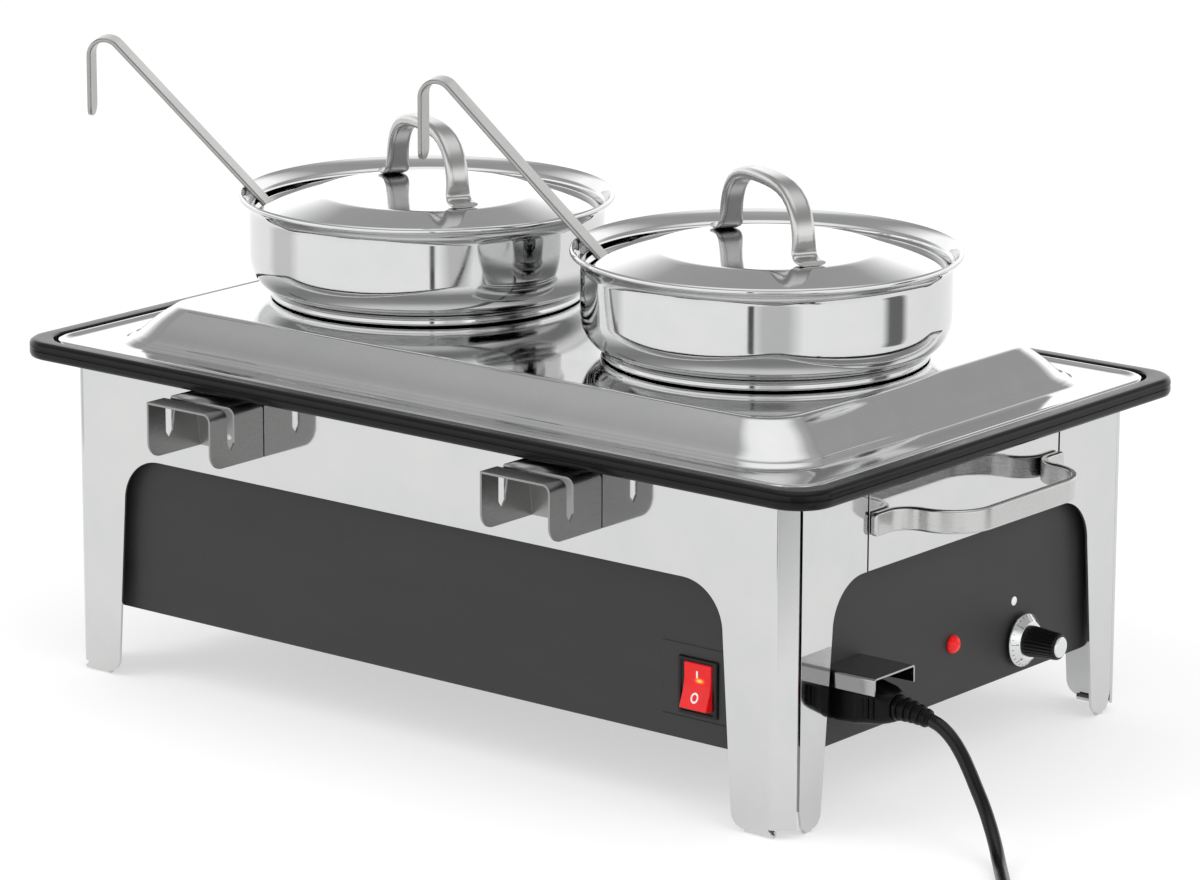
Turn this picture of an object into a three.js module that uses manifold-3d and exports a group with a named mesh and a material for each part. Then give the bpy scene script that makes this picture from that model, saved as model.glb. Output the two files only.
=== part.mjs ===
// Electric steam table unit: a water-bath frame on four sheet legs, with two lift-out
// soup pots, their lids and ladles, a switched and thermostatic heater, and a mains lead.
// Millimetres, +Z up, +X towards the dial, -Y towards the power switch.
import * as THREE from 'three';
import { mergeVertices } from 'three/addons/utils/BufferGeometryUtils.js';
import Module from 'manifold-3d';

const wasm = await Module();
wasm.setup();

// Driving dimensions
const GAP = 0.3;
const SHEET = 1.5;
const THIN = 1.2;
const SKIRT_X = 253;
const SKIRT_Y = 155;
const CHAMFER = 9;
const SKIRT_TOP = 180.7;
const ARCH_TOP = 130;
const ARCH_RADIUS = 26;
const FRONT_ARCH_X = 211;
const SIDE_ARCH_Y = 117;
const LEG_TAPER = 7;
const SEAM_Y = 87;
const RIM = { x: 277.4, y: 173.75, radius: 22, low: 181, shelf: 186, top: 191 };
const FLANGE = { x: 265, y: 162.5, radius: 20 };
const PAN = { x: 240, y: 140, floorX: 233, floorY: 133, radius: 40, floor: 98.8 };
const PLATE = { low: 187.8, top: 209.5, baseX: 237, baseY: 137, topX: 216, topY: 118 };
const HOUSING = { x: 246, y: 148, radius: 25, low: 40, top: 137 };
const FOOT = { x: 212, y: 112, radius: 9, drop: 8 };
const POT_X = 120;
const POT_HOLE = 87.2;
const LID_TURN = -27.3;
const LID_CUT_TURN = -165;
const LID_CUT = 82;
const LADLE_TURN = { left: -150, right: -157 };
const LADLE_LEAN = 46.3;
const HANDLE = { z: 155, tall: 12.5, thick: 4, reach: 294.5, studY: 79 };
const HOLDER = { width: 48, front: 197.75, low: 146.5, top: 178 };
const HOLDER_X = { left: -128.5, right: 108.3 };
const SWITCH = { x: 191, z: 70.5, wide: 26, tall: 31 };
const DIAL = { y: 64, z: 59 };
const LAMP = { y: 0, z: 70.4 };
const INLET = { y: -99, z: 65.5 };
const CORD = 7.2;
const COIL = { x: 486.4, y: -211.6, radius: 38.5, turnsHigh: 3, turnsWide: 2 };
const CENTRE_SHIFT = 12;

const materials = {
  mirror_steel: { color: 0xd9dadb, roughness: 0.06, metalness: 1 },
  polished_steel: { color: 0xdcdcdb, roughness: 0.15, metalness: 1 },
  satin_steel: { color: 0xb9b9b7, roughness: 0.38, metalness: 1 },
  black_rim: { color: 0x1b1b1c, roughness: 0.42, metalness: 0 },
  housing_black: { color: 0x3b3b3b, roughness: 0.62, metalness: 0.1 },
  black_plastic: { color: 0x121212, roughness: 0.45, metalness: 0 },
  black_rubber: { color: 0x161616, roughness: 0.7, metalness: 0 },
  red_lens: { color: 0xd8121b, roughness: 0.2, metalness: 0 },
  dial_silver: { color: 0xc9cacc, roughness: 0.3, metalness: 0.9 },
  heater_steel: { color: 0x77736d, roughness: 0.5, metalness: 0.9 },
  beige_plastic: { color: 0xd8d2bf, roughness: 0.5, metalness: 0 },
};

const unit = new THREE.Group();
unit.position.y = CENTRE_SHIFT;

function degrees(angle) {
  return (angle * Math.PI) / 180;
}

// A closed solid from a geometry whose seams are still open copies of one another.
function solid(geometry) {
  const plain = geometry.clone();
  plain.deleteAttribute('normal');
  plain.deleteAttribute('uv');
  const merged = mergeVertices(plain, 1e-4);
  const faces = [];
  for (let i = 0; i < merged.index.count; i += 3) {
    const [a, b, c] = [0, 1, 2].map((k) => merged.index.getX(i + k));
    if (a !== b && b !== c && a !== c) faces.push(a, b, c);
  }
  const mesh = new wasm.Mesh({
    numProp: 3,
    vertProperties: Float32Array.from(merged.attributes.position.array),
    triVerts: Uint32Array.from(faces),
  });
  return new wasm.Manifold(mesh);
}

function toGeometry(manifold) {
  const mesh = manifold.getMesh();
  const geometry = new THREE.BufferGeometry();
  geometry.setAttribute('position', new THREE.BufferAttribute(Float32Array.from(mesh.vertProperties), 3));
  geometry.setIndex(new THREE.BufferAttribute(Uint32Array.from(mesh.triVerts), 1));
  geometry.computeVertexNormals();
  return geometry;
}

// Adds a named part to its group. A boolean result becomes a geometry first.
function part(name, shape, finish, parent = unit) {
  const geometry = shape.isBufferGeometry ? shape : toGeometry(shape);
  const mesh = new THREE.Mesh(geometry, new THREE.MeshStandardMaterial(materials[finish]));
  mesh.name = name;
  parent.add(mesh);
  return mesh;
}

// Outline of a rounded rectangle, anticlockwise.
function rounded(halfX, halfY, radius, steps = 5) {
  const points = [];
  const corners = [[1, -1, -90], [1, 1, 0], [-1, 1, 90], [-1, -1, 180]];
  for (const [signX, signY, start] of corners) {
    for (let i = 0; i <= steps; i += 1) {
      const angle = degrees(start + (90 * i) / steps);
      const x = signX * (halfX - radius) + radius * Math.cos(angle);
      const y = signY * (halfY - radius) + radius * Math.sin(angle);
      points.push(new THREE.Vector2(x, y));
    }
  }
  return points;
}

function extrude(points, low, high) {
  const shape = points instanceof THREE.Shape ? points : new THREE.Shape(points);
  const settings = { depth: high - low, bevelEnabled: false, curveSegments: 5 };
  const geometry = new THREE.ExtrudeGeometry(shape, settings);
  return geometry.translate(0, 0, low);
}

// An outline in (x, z), given thickness from low y to high y.
function extrudeY(points, low, high) {
  return extrude(points, 0, high - low).rotateX(Math.PI / 2).translate(0, high, 0);
}

// An outline in (y, z), given thickness from low x to high x.
function extrudeX(points, low, high) {
  return extrude(points, low, high).rotateX(Math.PI / 2).rotateZ(Math.PI / 2);
}

function outline(...points) {
  return points.map(([x, y]) => new THREE.Vector2(x, y));
}

function block(x0, x1, y0, y1, z0, z1) {
  const box = new THREE.BoxGeometry(x1 - x0, y1 - y0, z1 - z0);
  return box.translate((x0 + x1) / 2, (y0 + y1) / 2, (z0 + z1) / 2);
}

function cylinderX(radius, x0, x1, y, z, sides = 16, tip = radius) {
  const rod = new THREE.CylinderGeometry(tip, radius, x1 - x0, sides);
  return rod.rotateZ(-Math.PI / 2).translate((x0 + x1) / 2, y, z);
}

function cylinderY(radius, y0, y1, x, z, sides = 8) {
  const rod = new THREE.CylinderGeometry(radius, radius, y1 - y0, sides);
  return rod.translate(x, (y0 + y1) / 2, z);
}

function cylinderZ(radius, z0, z1, x, y, sides = 16, tip = radius) {
  const rod = new THREE.CylinderGeometry(tip, radius, z1 - z0, sides);
  return rod.rotateX(Math.PI / 2).translate(x, y, (z0 + z1) / 2);
}

function turned(profile, sides) {
  const points = profile.map(([radius, z]) => new THREE.Vector2(radius, z));
  return new THREE.LatheGeometry(points, sides).rotateX(Math.PI / 2);
}

// A closed body through a row of rings that have the same number of points.
function skin(rings) {
  const count = rings[0].length;
  const positions = rings.flatMap((ring) => ring.flatMap((p) => [p.x, p.y, p.z]));
  const faces = [];
  for (let level = 0; level + 1 < rings.length; level += 1) {
    for (let i = 0; i < count; i += 1) {
      const a = level * count + i;
      const b = level * count + ((i + 1) % count);
      faces.push(a, b, b + count, a, b + count, a + count);
    }
  }
  const last = (rings.length - 1) * count;
  for (let i = 1; i + 1 < count; i += 1) {
    faces.push(0, i + 1, i, last, last + i, last + i + 1);
  }
  const geometry = new THREE.BufferGeometry();
  geometry.setAttribute('position', new THREE.BufferAttribute(new Float32Array(positions), 3));
  geometry.setIndex(faces);
  return geometry;
}

function loft(sections) {
  return skin(sections.map(({ points, z }) => points.map((p) => new THREE.Vector3(p.x, p.y, z))));
}

// Outline of a bent strip: a centre line given thickness on both sides.
function strip(centre, thickness) {
  const left = [];
  const right = [];
  centre.forEach((point, i) => {
    const before = centre[Math.max(i - 1, 0)];
    const after = centre[Math.min(i + 1, centre.length - 1)];
    const run = new THREE.Vector2().subVectors(after, before).normalize();
    const side = new THREE.Vector2(-run.y, run.x).multiplyScalar(thickness / 2);
    left.push(point.clone().add(side));
    right.push(point.clone().sub(side));
  });
  return [...right, ...left.reverse()];
}

function arc(x, y, radius, from, to, steps) {
  const points = [];
  for (let i = 0; i <= steps; i += 1) {
    const angle = degrees(from + ((to - from) * i) / steps);
    points.push(new THREE.Vector2(x + radius * Math.cos(angle), y + radius * Math.sin(angle)));
  }
  return points;
}

// Frame: the long skirts wrap the corners and end in the outer half of each leg.
function skirt(holes) {
  const tuck = SHEET * Math.SQRT1_2;
  const inner = SKIRT_X - CHAMFER - SHEET * Math.tan(degrees(22.5));
  const plan = outline(
    [-SKIRT_X, -SKIRT_Y + CHAMFER], [-SKIRT_X + CHAMFER, -SKIRT_Y],
    [SKIRT_X - CHAMFER, -SKIRT_Y], [SKIRT_X, -SKIRT_Y + CHAMFER],
    [SKIRT_X - tuck, -SKIRT_Y + CHAMFER + tuck], [inner, -SKIRT_Y + SHEET],
    [-inner, -SKIRT_Y + SHEET], [-SKIRT_X + tuck, -SKIRT_Y + CHAMFER + tuck],
  );
  const centre = FRONT_ARCH_X - ARCH_RADIUS;
  const arch = [
    ...outline([FRONT_ARCH_X + LEG_TAPER, -1]),
    ...arc(centre, ARCH_TOP - ARCH_RADIUS, ARCH_RADIUS, 0, 90, 6),
    ...arc(-centre, ARCH_TOP - ARCH_RADIUS, ARCH_RADIUS, 90, 180, 6),
    ...outline([-FRONT_ARCH_X - LEG_TAPER, -1]),
  ];
  let sheet = solid(extrude(plan, 0, SKIRT_TOP));
  sheet = sheet.subtract(solid(extrudeY(arch, -SKIRT_Y - 5, -SKIRT_Y + 5)));
  for (const [x, z] of holes) {
    sheet = sheet.subtract(solid(cylinderY(2.3, -SKIRT_Y - 5, -SKIRT_Y + 5, x, z)));
  }
  return toGeometry(sheet);
}

const rivetHeights = [156, 170];
const rivetHoles = Object.values(HOLDER_X).flatMap((x) => rivetHeights.map((z) => [x, z]));
part('front_skirt', skirt(rivetHoles), 'polished_steel');
part('back_skirt', skirt([]).rotateZ(Math.PI), 'polished_steel');

// The inner half of each leg is its own sheet, from the corner gap to the panel seam.
function sideLeg() {
  const corner = SKIRT_Y - CHAMFER - 2.5;
  const centre = SIDE_ARCH_Y - ARCH_RADIUS;
  const edge = [
    ...outline([corner, 0], [corner, SKIRT_TOP], [SEAM_Y, SKIRT_TOP], [SEAM_Y, ARCH_TOP]),
    ...arc(centre, ARCH_TOP - ARCH_RADIUS, ARCH_RADIUS, 90, 0, 6),
    ...outline([SIDE_ARCH_Y + LEG_TAPER + 2, 0]),
  ];
  return extrudeX(edge, SKIRT_X - SHEET, SKIRT_X);
}

function mirrored(geometry, axis) {
  const flip = new THREE.Matrix4().makeScale(axis === 'x' ? -1 : 1, axis === 'y' ? -1 : 1, 1);
  const copy = geometry.clone().applyMatrix4(flip);
  const closed = mergeVertices(copy);
  const order = Array.from(closed.index.array);
  for (let i = 0; i < order.length; i += 3) {
    [order[i + 1], order[i + 2]] = [order[i + 2], order[i + 1]];
  }
  closed.setIndex(order);
  return closed;
}

const leg = sideLeg();
part('right_back_leg', leg, 'polished_steel');
part('right_front_leg', mirrored(leg, 'y'), 'polished_steel');
part('left_back_leg', mirrored(leg, 'x'), 'polished_steel');
part('left_front_leg', leg.clone().rotateZ(Math.PI), 'polished_steel');

// Side panels carry the handles on two welded studs each, held by nuts inside.
function sidePanel() {
  const edge = SEAM_Y - GAP;
  let panel = solid(block(SKIRT_X - SHEET, SKIRT_X, -edge, edge, ARCH_TOP, SKIRT_TOP));
  for (const y of [-HANDLE.studY, HANDLE.studY]) {
    panel = panel.subtract(solid(cylinderX(3, SKIRT_X - 5, SKIRT_X + 5, y, HANDLE.z, 12)));
  }
  return toGeometry(panel);
}

function sideHandle() {
  const wall = SKIRT_X + GAP + HANDLE.thick / 2;
  const grip = HANDLE.reach - HANDLE.thick / 2;
  const half = [
    ...outline([wall, SEAM_Y - 1]),
    ...arc(wall + 14, SEAM_Y - 13, 14, 180, 262, 6),
    ...arc(grip - 18, SEAM_Y - 45, 18, 80, 0, 6),
  ];
  const back = half.map((p) => new THREE.Vector2(p.x, -p.y)).reverse();
  const bar = strip([...half, ...back], HANDLE.thick);
  let shape = solid(extrude(bar, HANDLE.z - HANDLE.tall / 2, HANDLE.z + HANDLE.tall / 2));
  for (const y of [-HANDLE.studY, HANDLE.studY]) {
    shape = shape.add(solid(cylinderX(2.4, SKIRT_X - 7, wall, y, HANDLE.z, 12)));
  }
  return toGeometry(shape);
}

function nut(y) {
  const low = SKIRT_X - SHEET - 4.5;
  const hexagon = solid(cylinderX(4.6, low, low + 4, y, HANDLE.z, 6));
  return toGeometry(hexagon.subtract(solid(cylinderX(2.7, low - 1, low + 5, y, HANDLE.z, 12))));
}

for (const side of ['right', 'left']) {
  const turn = side === 'right' ? 0 : Math.PI;
  part(`${side}_panel`, sidePanel().rotateZ(turn), 'polished_steel');
  part(`${side}_handle`, sideHandle().rotateZ(turn), 'polished_steel');
  part(`${side}_handle_nut_a`, nut(HANDLE.studY).rotateZ(turn), 'satin_steel');
  part(`${side}_handle_nut_b`, nut(-HANDLE.studY).rotateZ(turn), 'satin_steel');
}

// Black rim that closes the skirts and carries the water pan and the top plate.
const rimBody = solid(extrude(rounded(RIM.x, RIM.y, RIM.radius), RIM.low, RIM.top));
const recessPlan = rounded(FLANGE.x + 1.6, FLANGE.y + 1.6, FLANGE.radius);
const rimRecess = solid(extrude(recessPlan, RIM.shelf, RIM.top + 1));
const rimOpening = solid(extrude(rounded(PAN.x + 5, PAN.y + 5, PAN.radius), RIM.low - 1, RIM.shelf + 1));
part('rim_frame', rimBody.subtract(rimRecess).subtract(rimOpening), 'black_rim');

// Water pan: a flanged basin.
function basin(inset, low, high) {
  const slope = (PAN.x - PAN.floorX) / (RIM.shelf - PAN.floor);
  const spread = (z) => (z - PAN.floor) * slope;
  return loft([low, low + 8, high].map((z, i) => {
    const tuck = inset + (i === 0 ? 6 : 0);
    const points = rounded(PAN.floorX + spread(z) - tuck, PAN.floorY + spread(z) - tuck, PAN.radius - tuck);
    return { points, z };
  }));
}

const panFlangePlan = rounded(FLANGE.x - 1.5, FLANGE.y - 1.5, 19);
const panFlange = solid(extrude(panFlangePlan, RIM.shelf + GAP, RIM.shelf + 1.5));
const panBody = panFlange.add(solid(basin(0, PAN.floor, RIM.shelf + 1.4)));
part('water_pan', panBody.subtract(solid(basin(THIN, PAN.floor + THIN, RIM.shelf + 4))), 'satin_steel');

// Lower housing, open on top, with the controls in its walls.
let shell = solid(extrude(rounded(HOUSING.x, HOUSING.y, HOUSING.radius), HOUSING.low, HOUSING.top));
const shellInside = rounded(HOUSING.x - THIN, HOUSING.y - THIN, HOUSING.radius - THIN);
shell = shell.subtract(solid(extrude(shellInside, HOUSING.low - 1, HOUSING.top + 1)));
shell = shell.subtract(solid(block(
  SWITCH.x - 11, SWITCH.x + 11, -HOUSING.y - 2, -HOUSING.y + 4, SWITCH.z - 14, SWITCH.z + 14,
)));
shell = shell.subtract(solid(cylinderX(5, HOUSING.x - 4, HOUSING.x + 2, DIAL.y, DIAL.z)));
shell = shell.subtract(solid(cylinderX(3.6, HOUSING.x - 4, HOUSING.x + 2, LAMP.y, LAMP.z)));
shell = shell.subtract(solid(block(
  HOUSING.x - 4, HOUSING.x + 2, INLET.y - 14, INLET.y + 14, INLET.z - 10.5, INLET.z + 10.5,
)));
part('housing_shell', shell, 'housing_black');

const basePlan = rounded(HOUSING.x - THIN - GAP, HOUSING.y - THIN - GAP, HOUSING.radius - THIN - GAP);
part('housing_base', extrude(basePlan, HOUSING.low, HOUSING.low + THIN), 'housing_black');

const footPlaces = { front_left: [-1, -1], front_right: [1, -1], back_left: [-1, 1], back_right: [1, 1] };
for (const [place, [signX, signY]] of Object.entries(footPlaces)) {
  const top = HOUSING.low - GAP;
  const centre = [signX * FOOT.x, signY * FOOT.y];
  const foot = cylinderZ(FOOT.radius - 1.5, top - FOOT.drop, top, ...centre, 16, FOOT.radius);
  part(`${place}_foot`, foot, 'black_rubber');
}

// Heating: a tubular element under the pan, its sensor and its cut-out.
const elementPath = new THREE.CurvePath();
const elementZ = PAN.floor - 7;
const elementY = 62;
const elementX = 150;
elementPath.add(new THREE.LineCurve3(
  new THREE.Vector3(elementX + 50, -elementY, elementZ), new THREE.Vector3(-elementX, -elementY, elementZ),
));
elementPath.add(new THREE.QuadraticBezierCurve3(
  new THREE.Vector3(-elementX, -elementY, elementZ),
  new THREE.Vector3(-elementX - elementY, -elementY, elementZ),
  new THREE.Vector3(-elementX - elementY, 0, elementZ),
));
elementPath.add(new THREE.QuadraticBezierCurve3(
  new THREE.Vector3(-elementX - elementY, 0, elementZ),
  new THREE.Vector3(-elementX - elementY, elementY, elementZ),
  new THREE.Vector3(-elementX, elementY, elementZ),
));
elementPath.add(new THREE.LineCurve3(
  new THREE.Vector3(-elementX, elementY, elementZ), new THREE.Vector3(elementX + 50, elementY, elementZ),
));
const roundSection = (radius, sides) => new THREE.Shape(arc(0, 0, radius, 0, 360 - 360 / sides, sides - 1));
const element = new THREE.ExtrudeGeometry(roundSection(4, 6), { steps: 28, extrudePath: elementPath });
part('heating_element', element, 'heater_steel');

const underPan = PAN.floor - GAP;
part('temperature_sensor', cylinderX(3, 60, 130, 20, underPan - 3.2, 10), 'heater_steel');
part('thermal_cutout', cylinderZ(8, underPan - 9, underPan, 40, -25, 14), 'beige_plastic');

const floorTop = HOUSING.low + THIN + GAP;
part('terminal_block', block(150, 190, -30, -12, floorTop, floorTop + 16), 'beige_plastic');

const thermostatBody = solid(block(
  HOUSING.x - 33, HOUSING.x - 2, DIAL.y - 14, DIAL.y + 14, DIAL.z - 14, DIAL.z + 14,
));
const spindleRoom = solid(cylinderX(3.4, HOUSING.x - 22, HOUSING.x + 2, DIAL.y, DIAL.z, 16));
part('thermostat_body', thermostatBody.subtract(spindleRoom), 'black_plastic');

// Dial: spindle, graduated skirt, grip and its cap turn together.
part('dial_spindle', cylinderX(3, HOUSING.x - 21, HOUSING.x + 2.2, DIAL.y, DIAL.z, 24), 'satin_steel');
part('dial_skirt', cylinderX(14.7, HOUSING.x + 2.5, HOUSING.x + 7, DIAL.y, DIAL.z, 28, 12.2), 'dial_silver');
part('dial_grip', cylinderX(8.6, HOUSING.x + 7.3, HOUSING.x + 26, DIAL.y, DIAL.z, 20, 7), 'black_plastic');
part('dial_cap', cylinderX(5.8, HOUSING.x + 26.3, HOUSING.x + 27.2, DIAL.y, DIAL.z, 20, 5.4), 'dial_silver');

// Indicator lamp: a domed lens on a stem through the wall.
const lampProfile = [[0, -14], [3.3, -14], [3.3, GAP], [5, GAP], [4.6, 2], [3, 3.6], [0, 4.3]];
const lamp = turned(lampProfile, 16).rotateY(Math.PI / 2).translate(HOUSING.x, LAMP.y, LAMP.z);
part('indicator_lamp', lamp, 'red_lens');

// Power switch: a framed body with a pocket, and the rocker that pivots in it.
const frameFront = -HOUSING.y - 2;
const bezel = solid(block(
  SWITCH.x - SWITCH.wide / 2, SWITCH.x + SWITCH.wide / 2, frameFront, -HOUSING.y - GAP,
  SWITCH.z - SWITCH.tall / 2, SWITCH.z + SWITCH.tall / 2,
));
const switchBody = solid(block(
  SWITCH.x - 10.6, SWITCH.x + 10.6, -HOUSING.y - 0.5, -HOUSING.y + 22, SWITCH.z - 13.6, SWITCH.z + 13.6,
));
const pocket = solid(block(
  SWITCH.x - 9.3, SWITCH.x + 9.3, frameFront - 1, -HOUSING.y + 9, SWITCH.z - 13.1, SWITCH.z + 13.1,
));
part('switch_frame', bezel.add(switchBody).subtract(pocket), 'black_plastic');

const rockerSide = outline(
  [-4.5, -12.2], [-4.5, -11.2], [-2.3, 0], [-4.5, 11.2], [-4.5, 12.2],
  [1, 12.2], [6.5, 5], [6.5, -5], [1, -12.2],
);
const rockerBody = solid(extrudeX(rockerSide.reverse(), -8.8, 8.8));
const rockerPivot = solid(cylinderX(1.6, -9.1, 9.1, 0, 0, 24));
const rocker = part('switch_rocker', rockerBody.add(rockerPivot), 'red_lens');
rocker.position.set(SWITCH.x, -HOUSING.y + 0.5, SWITCH.z);
rocker.rotation.x = degrees(-10);

// Appliance inlet with its drip cover.
const inletFlange = solid(block(
  HOUSING.x + GAP, HOUSING.x + 3, INLET.y - 16.5, INLET.y + 16.5, INLET.z - 12.5, INLET.z + 12.5,
));
const inletBody = solid(block(
  HOUSING.x - 24, HOUSING.x + 2, INLET.y - 13.5, INLET.y + 13.5, INLET.z - 10, INLET.z + 10,
));
const inletCup = solid(block(
  HOUSING.x - 17, HOUSING.x + 5, INLET.y - 11.9, INLET.y + 11.9, INLET.z - 8.4, INLET.z + 8.4,
));
let inlet = inletFlange.add(inletBody).subtract(inletCup);
for (const [y, z] of [[-7, 1.8], [0, -2], [7, 1.8]]) {
  inlet = inlet.add(solid(block(
    HOUSING.x - 18, HOUSING.x - 4, INLET.y + y - 1, INLET.y + y + 1, INLET.z + z - 2, INLET.z + z + 2,
  )));
}
part('inlet_socket', inlet, 'black_plastic');

const coverTop = INLET.z + 18.5;
const coverEdge = strip(outline(
  [INLET.y - 18.3, coverTop - 9], [INLET.y - 18.3, coverTop - 1.2], [INLET.y - 17.1, coverTop],
  [INLET.y + 17.1, coverTop], [INLET.y + 18.3, coverTop - 1.2], [INLET.y + 18.3, coverTop - 9],
), THIN);
const coverRoof = solid(extrudeX(coverEdge, HOUSING.x + GAP, HOUSING.x + 34));
const coverTab = solid(block(
  HOUSING.x + GAP, HOUSING.x + GAP + THIN, INLET.y - 15, INLET.y + 15, coverTop - 5.6, coverTop - 0.4,
));
part('inlet_cover', coverRoof.add(coverTab), 'satin_steel');

// Lid holders: folded brackets, slotted across, riveted to the front skirt.
for (const [side, x] of Object.entries(HOLDER_X)) {
  const half = HOLDER.width / 2;
  const bend = 6;
  const section = strip([
    ...outline([x - half + THIN / 2, HOLDER.low]),
    ...arc(x - half + bend, HOLDER.top - bend, bend - THIN / 2, 180, 90, 4),
    ...arc(x + half - bend, HOLDER.top - bend, bend - THIN / 2, 90, 0, 4),
    ...outline([x + half - THIN / 2, HOLDER.low]),
  ], THIN);
  let holder = solid(extrudeY(section, -HOLDER.front, -SKIRT_Y - GAP));
  const back = -SKIRT_Y - GAP;
  const web = block(x - half + 0.5, x + half - 0.5, back - THIN, back, HOLDER.low + 3, HOLDER.top - 0.5);
  const inside = outline(
    [x - half + 0.4, HOLDER.low], [x + half - 0.4, HOLDER.low], [x + half - 0.4, HOLDER.top - bend],
    [x + half - bend, HOLDER.top - 0.4], [x - half + bend, HOLDER.top - 0.4],
    [x - half + 0.4, HOLDER.top - bend],
  );
  const trimmedWeb = solid(web).intersect(solid(extrudeY(inside, -SKIRT_Y - 4, -SKIRT_Y)));
  holder = holder.add(trimmedWeb);
  const slotY = -HOLDER.front + 16.5;
  const slot = outline(
    [slotY - 2.8, HOLDER.top + 5], [slotY - 2.8, HOLDER.low + 12.5], [slotY, HOLDER.low + 8.5],
    [slotY + 2.8, HOLDER.low + 12.5], [slotY + 2.8, HOLDER.top + 5],
  );
  holder = holder.subtract(solid(extrudeX(slot, x - half - 2, x + half + 2)));
  rivetHeights.forEach((z, i) => {
    holder = holder.subtract(solid(cylinderY(2.3, -SKIRT_Y - 4, -SKIRT_Y + 1, x, z)));
    const head = solid(cylinderY(3.6, -SKIRT_Y - 2 * GAP - THIN - 1.2, -SKIRT_Y - 2 * GAP - THIN, x, z));
    const shank = solid(cylinderY(1.9, -SKIRT_Y - 3, -SKIRT_Y + SHEET + 2, x, z));
    const tail = solid(cylinderY(3.2, -SKIRT_Y + SHEET + GAP, -SKIRT_Y + SHEET + 1.6, x, z));
    part(`${side}_holder_rivet_${'ab'[i]}`, head.add(shank).add(tail), 'satin_steel');
  });
  part(`${side}_lid_holder`, holder, 'satin_steel');
}

// Top plate: a pressed cover with two pot openings.
function plateForm(inset, low, top) {
  return loft([
    { points: rounded(PLATE.baseX - inset, PLATE.baseY - inset, 34 - inset), z: low },
    { points: rounded(PLATE.baseX - inset, PLATE.baseY - inset, 34 - inset), z: PLATE.low + THIN - inset },
    { points: rounded(PLATE.topX - inset, PLATE.topY - inset, 22 - inset), z: top - 2.5 },
    { points: rounded(PLATE.topX - inset - 4, PLATE.topY - inset - 4, 18 - inset), z: top },
  ]);
}

const plateFlange = solid(extrude(rounded(FLANGE.x, FLANGE.y, FLANGE.radius), PLATE.low, PLATE.low + THIN));
let plate = plateFlange.add(solid(plateForm(0, PLATE.low, PLATE.top)));
plate = plate.subtract(solid(plateForm(THIN, PLATE.low - 2, PLATE.top - THIN)));
for (const x of [-POT_X, POT_X]) {
  plate = plate.subtract(solid(cylinderZ(POT_HOLE, PLATE.low, PLATE.top + 5, x, 0, 36)));
}
part('top_plate', plate, 'mirror_steel');

// Pots, lids and ladles.
const potProfile = [
  [0, 122.8], [74, 122.8], [82, 126.5], [86, 135], [86, 209.8], [88.8, 209.8], [88.8, 212.5], [90.5, 215.5],
  [95.5, 220.3], [98.8, 226], [100.3, 234], [100.3, 260.5], [103.6, 264.6], [105.4, 265.6], [106, 267.2],
  [105.2, 268.6], [103.2, 266.6], [99.1, 261], [99.1, 257], [96.4, 256.4], [96.4, 255.2], [99.1, 254],
  [99.1, 234.4], [97.6, 226.8], [94.5, 221.4], [89, 216.5], [87.4, 212.7], [84.8, 210], [84.8, 135.5],
  [81.2, 127.6], [73.6, 124], [0, 124],
];
const lidProfile = [
  [0, 268], [60, 268], [64, 267], [94, 259.3], [97.2, 257], [98.3, 257.1], [98.3, 258.3], [94.5, 260.6],
  [64.3, 268.3], [60.4, 269.3], [0, 269.3],
];

function lidShape() {
  const cutter = block(LID_CUT, LID_CUT + 40, -90, 90, 240, 280).rotateZ(degrees(LID_CUT_TURN));
  return toGeometry(solid(turned(lidProfile, 30)).subtract(solid(cutter)));
}

function lidHandleShape() {
  const span = 46;
  const lift = 36;
  const steps = 16;
  const line = [];
  for (let i = 0; i <= steps; i += 1) {
    const angle = degrees(180 - (180 * i) / steps);
    const across = Math.sign(Math.cos(angle)) * Math.abs(Math.cos(angle)) ** 0.75 * span;
    line.push(new THREE.Vector2(across, 271.2 + lift * Math.sin(angle) ** 0.85));
  }
  const footLength = 9;
  const low = 269.6;
  let shape = solid(extrudeY(strip(line, 6), -6.5, 6.5));
  shape = shape.subtract(solid(block(-80, 80, -20, 20, low - 20, low)));
  for (const end of [-span, span]) {
    shape = shape.add(solid(block(end - footLength, end + footLength, -7.5, 7.5, low, low + 2.4)));
  }
  return toGeometry(shape).rotateZ(degrees(LID_TURN));
}

const lean = degrees(LADLE_LEAN);
const along = new THREE.Vector2(Math.cos(lean), Math.sin(lean));
const inward = new THREE.Vector2(-Math.sin(lean), Math.cos(lean));
const rimCrossing = new THREE.Vector2(95, 261.2);
const ladleEnd = rimCrossing.clone().addScaledVector(along, -(rimCrossing.y - 127) / along.y);
const LADLE_THICK = 2.5;

function ladleHandleShape(turn) {
  const bendRadius = 9;
  const hookDrop = 306;
  const top = rimCrossing.clone().addScaledVector(along, (177.5 - rimCrossing.x) / along.x);
  const centre = top.clone().addScaledVector(inward, -bendRadius);
  const line = [
    ladleEnd,
    rimCrossing,
    ...arc(centre.x, centre.y, bendRadius, LADLE_LEAN + 90, 0, 8),
    new THREE.Vector2(centre.x + bendRadius, hookDrop),
  ];
  return extrudeY(strip(line, LADLE_THICK), -7.5, 7.5).rotateZ(degrees(turn));
}

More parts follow.
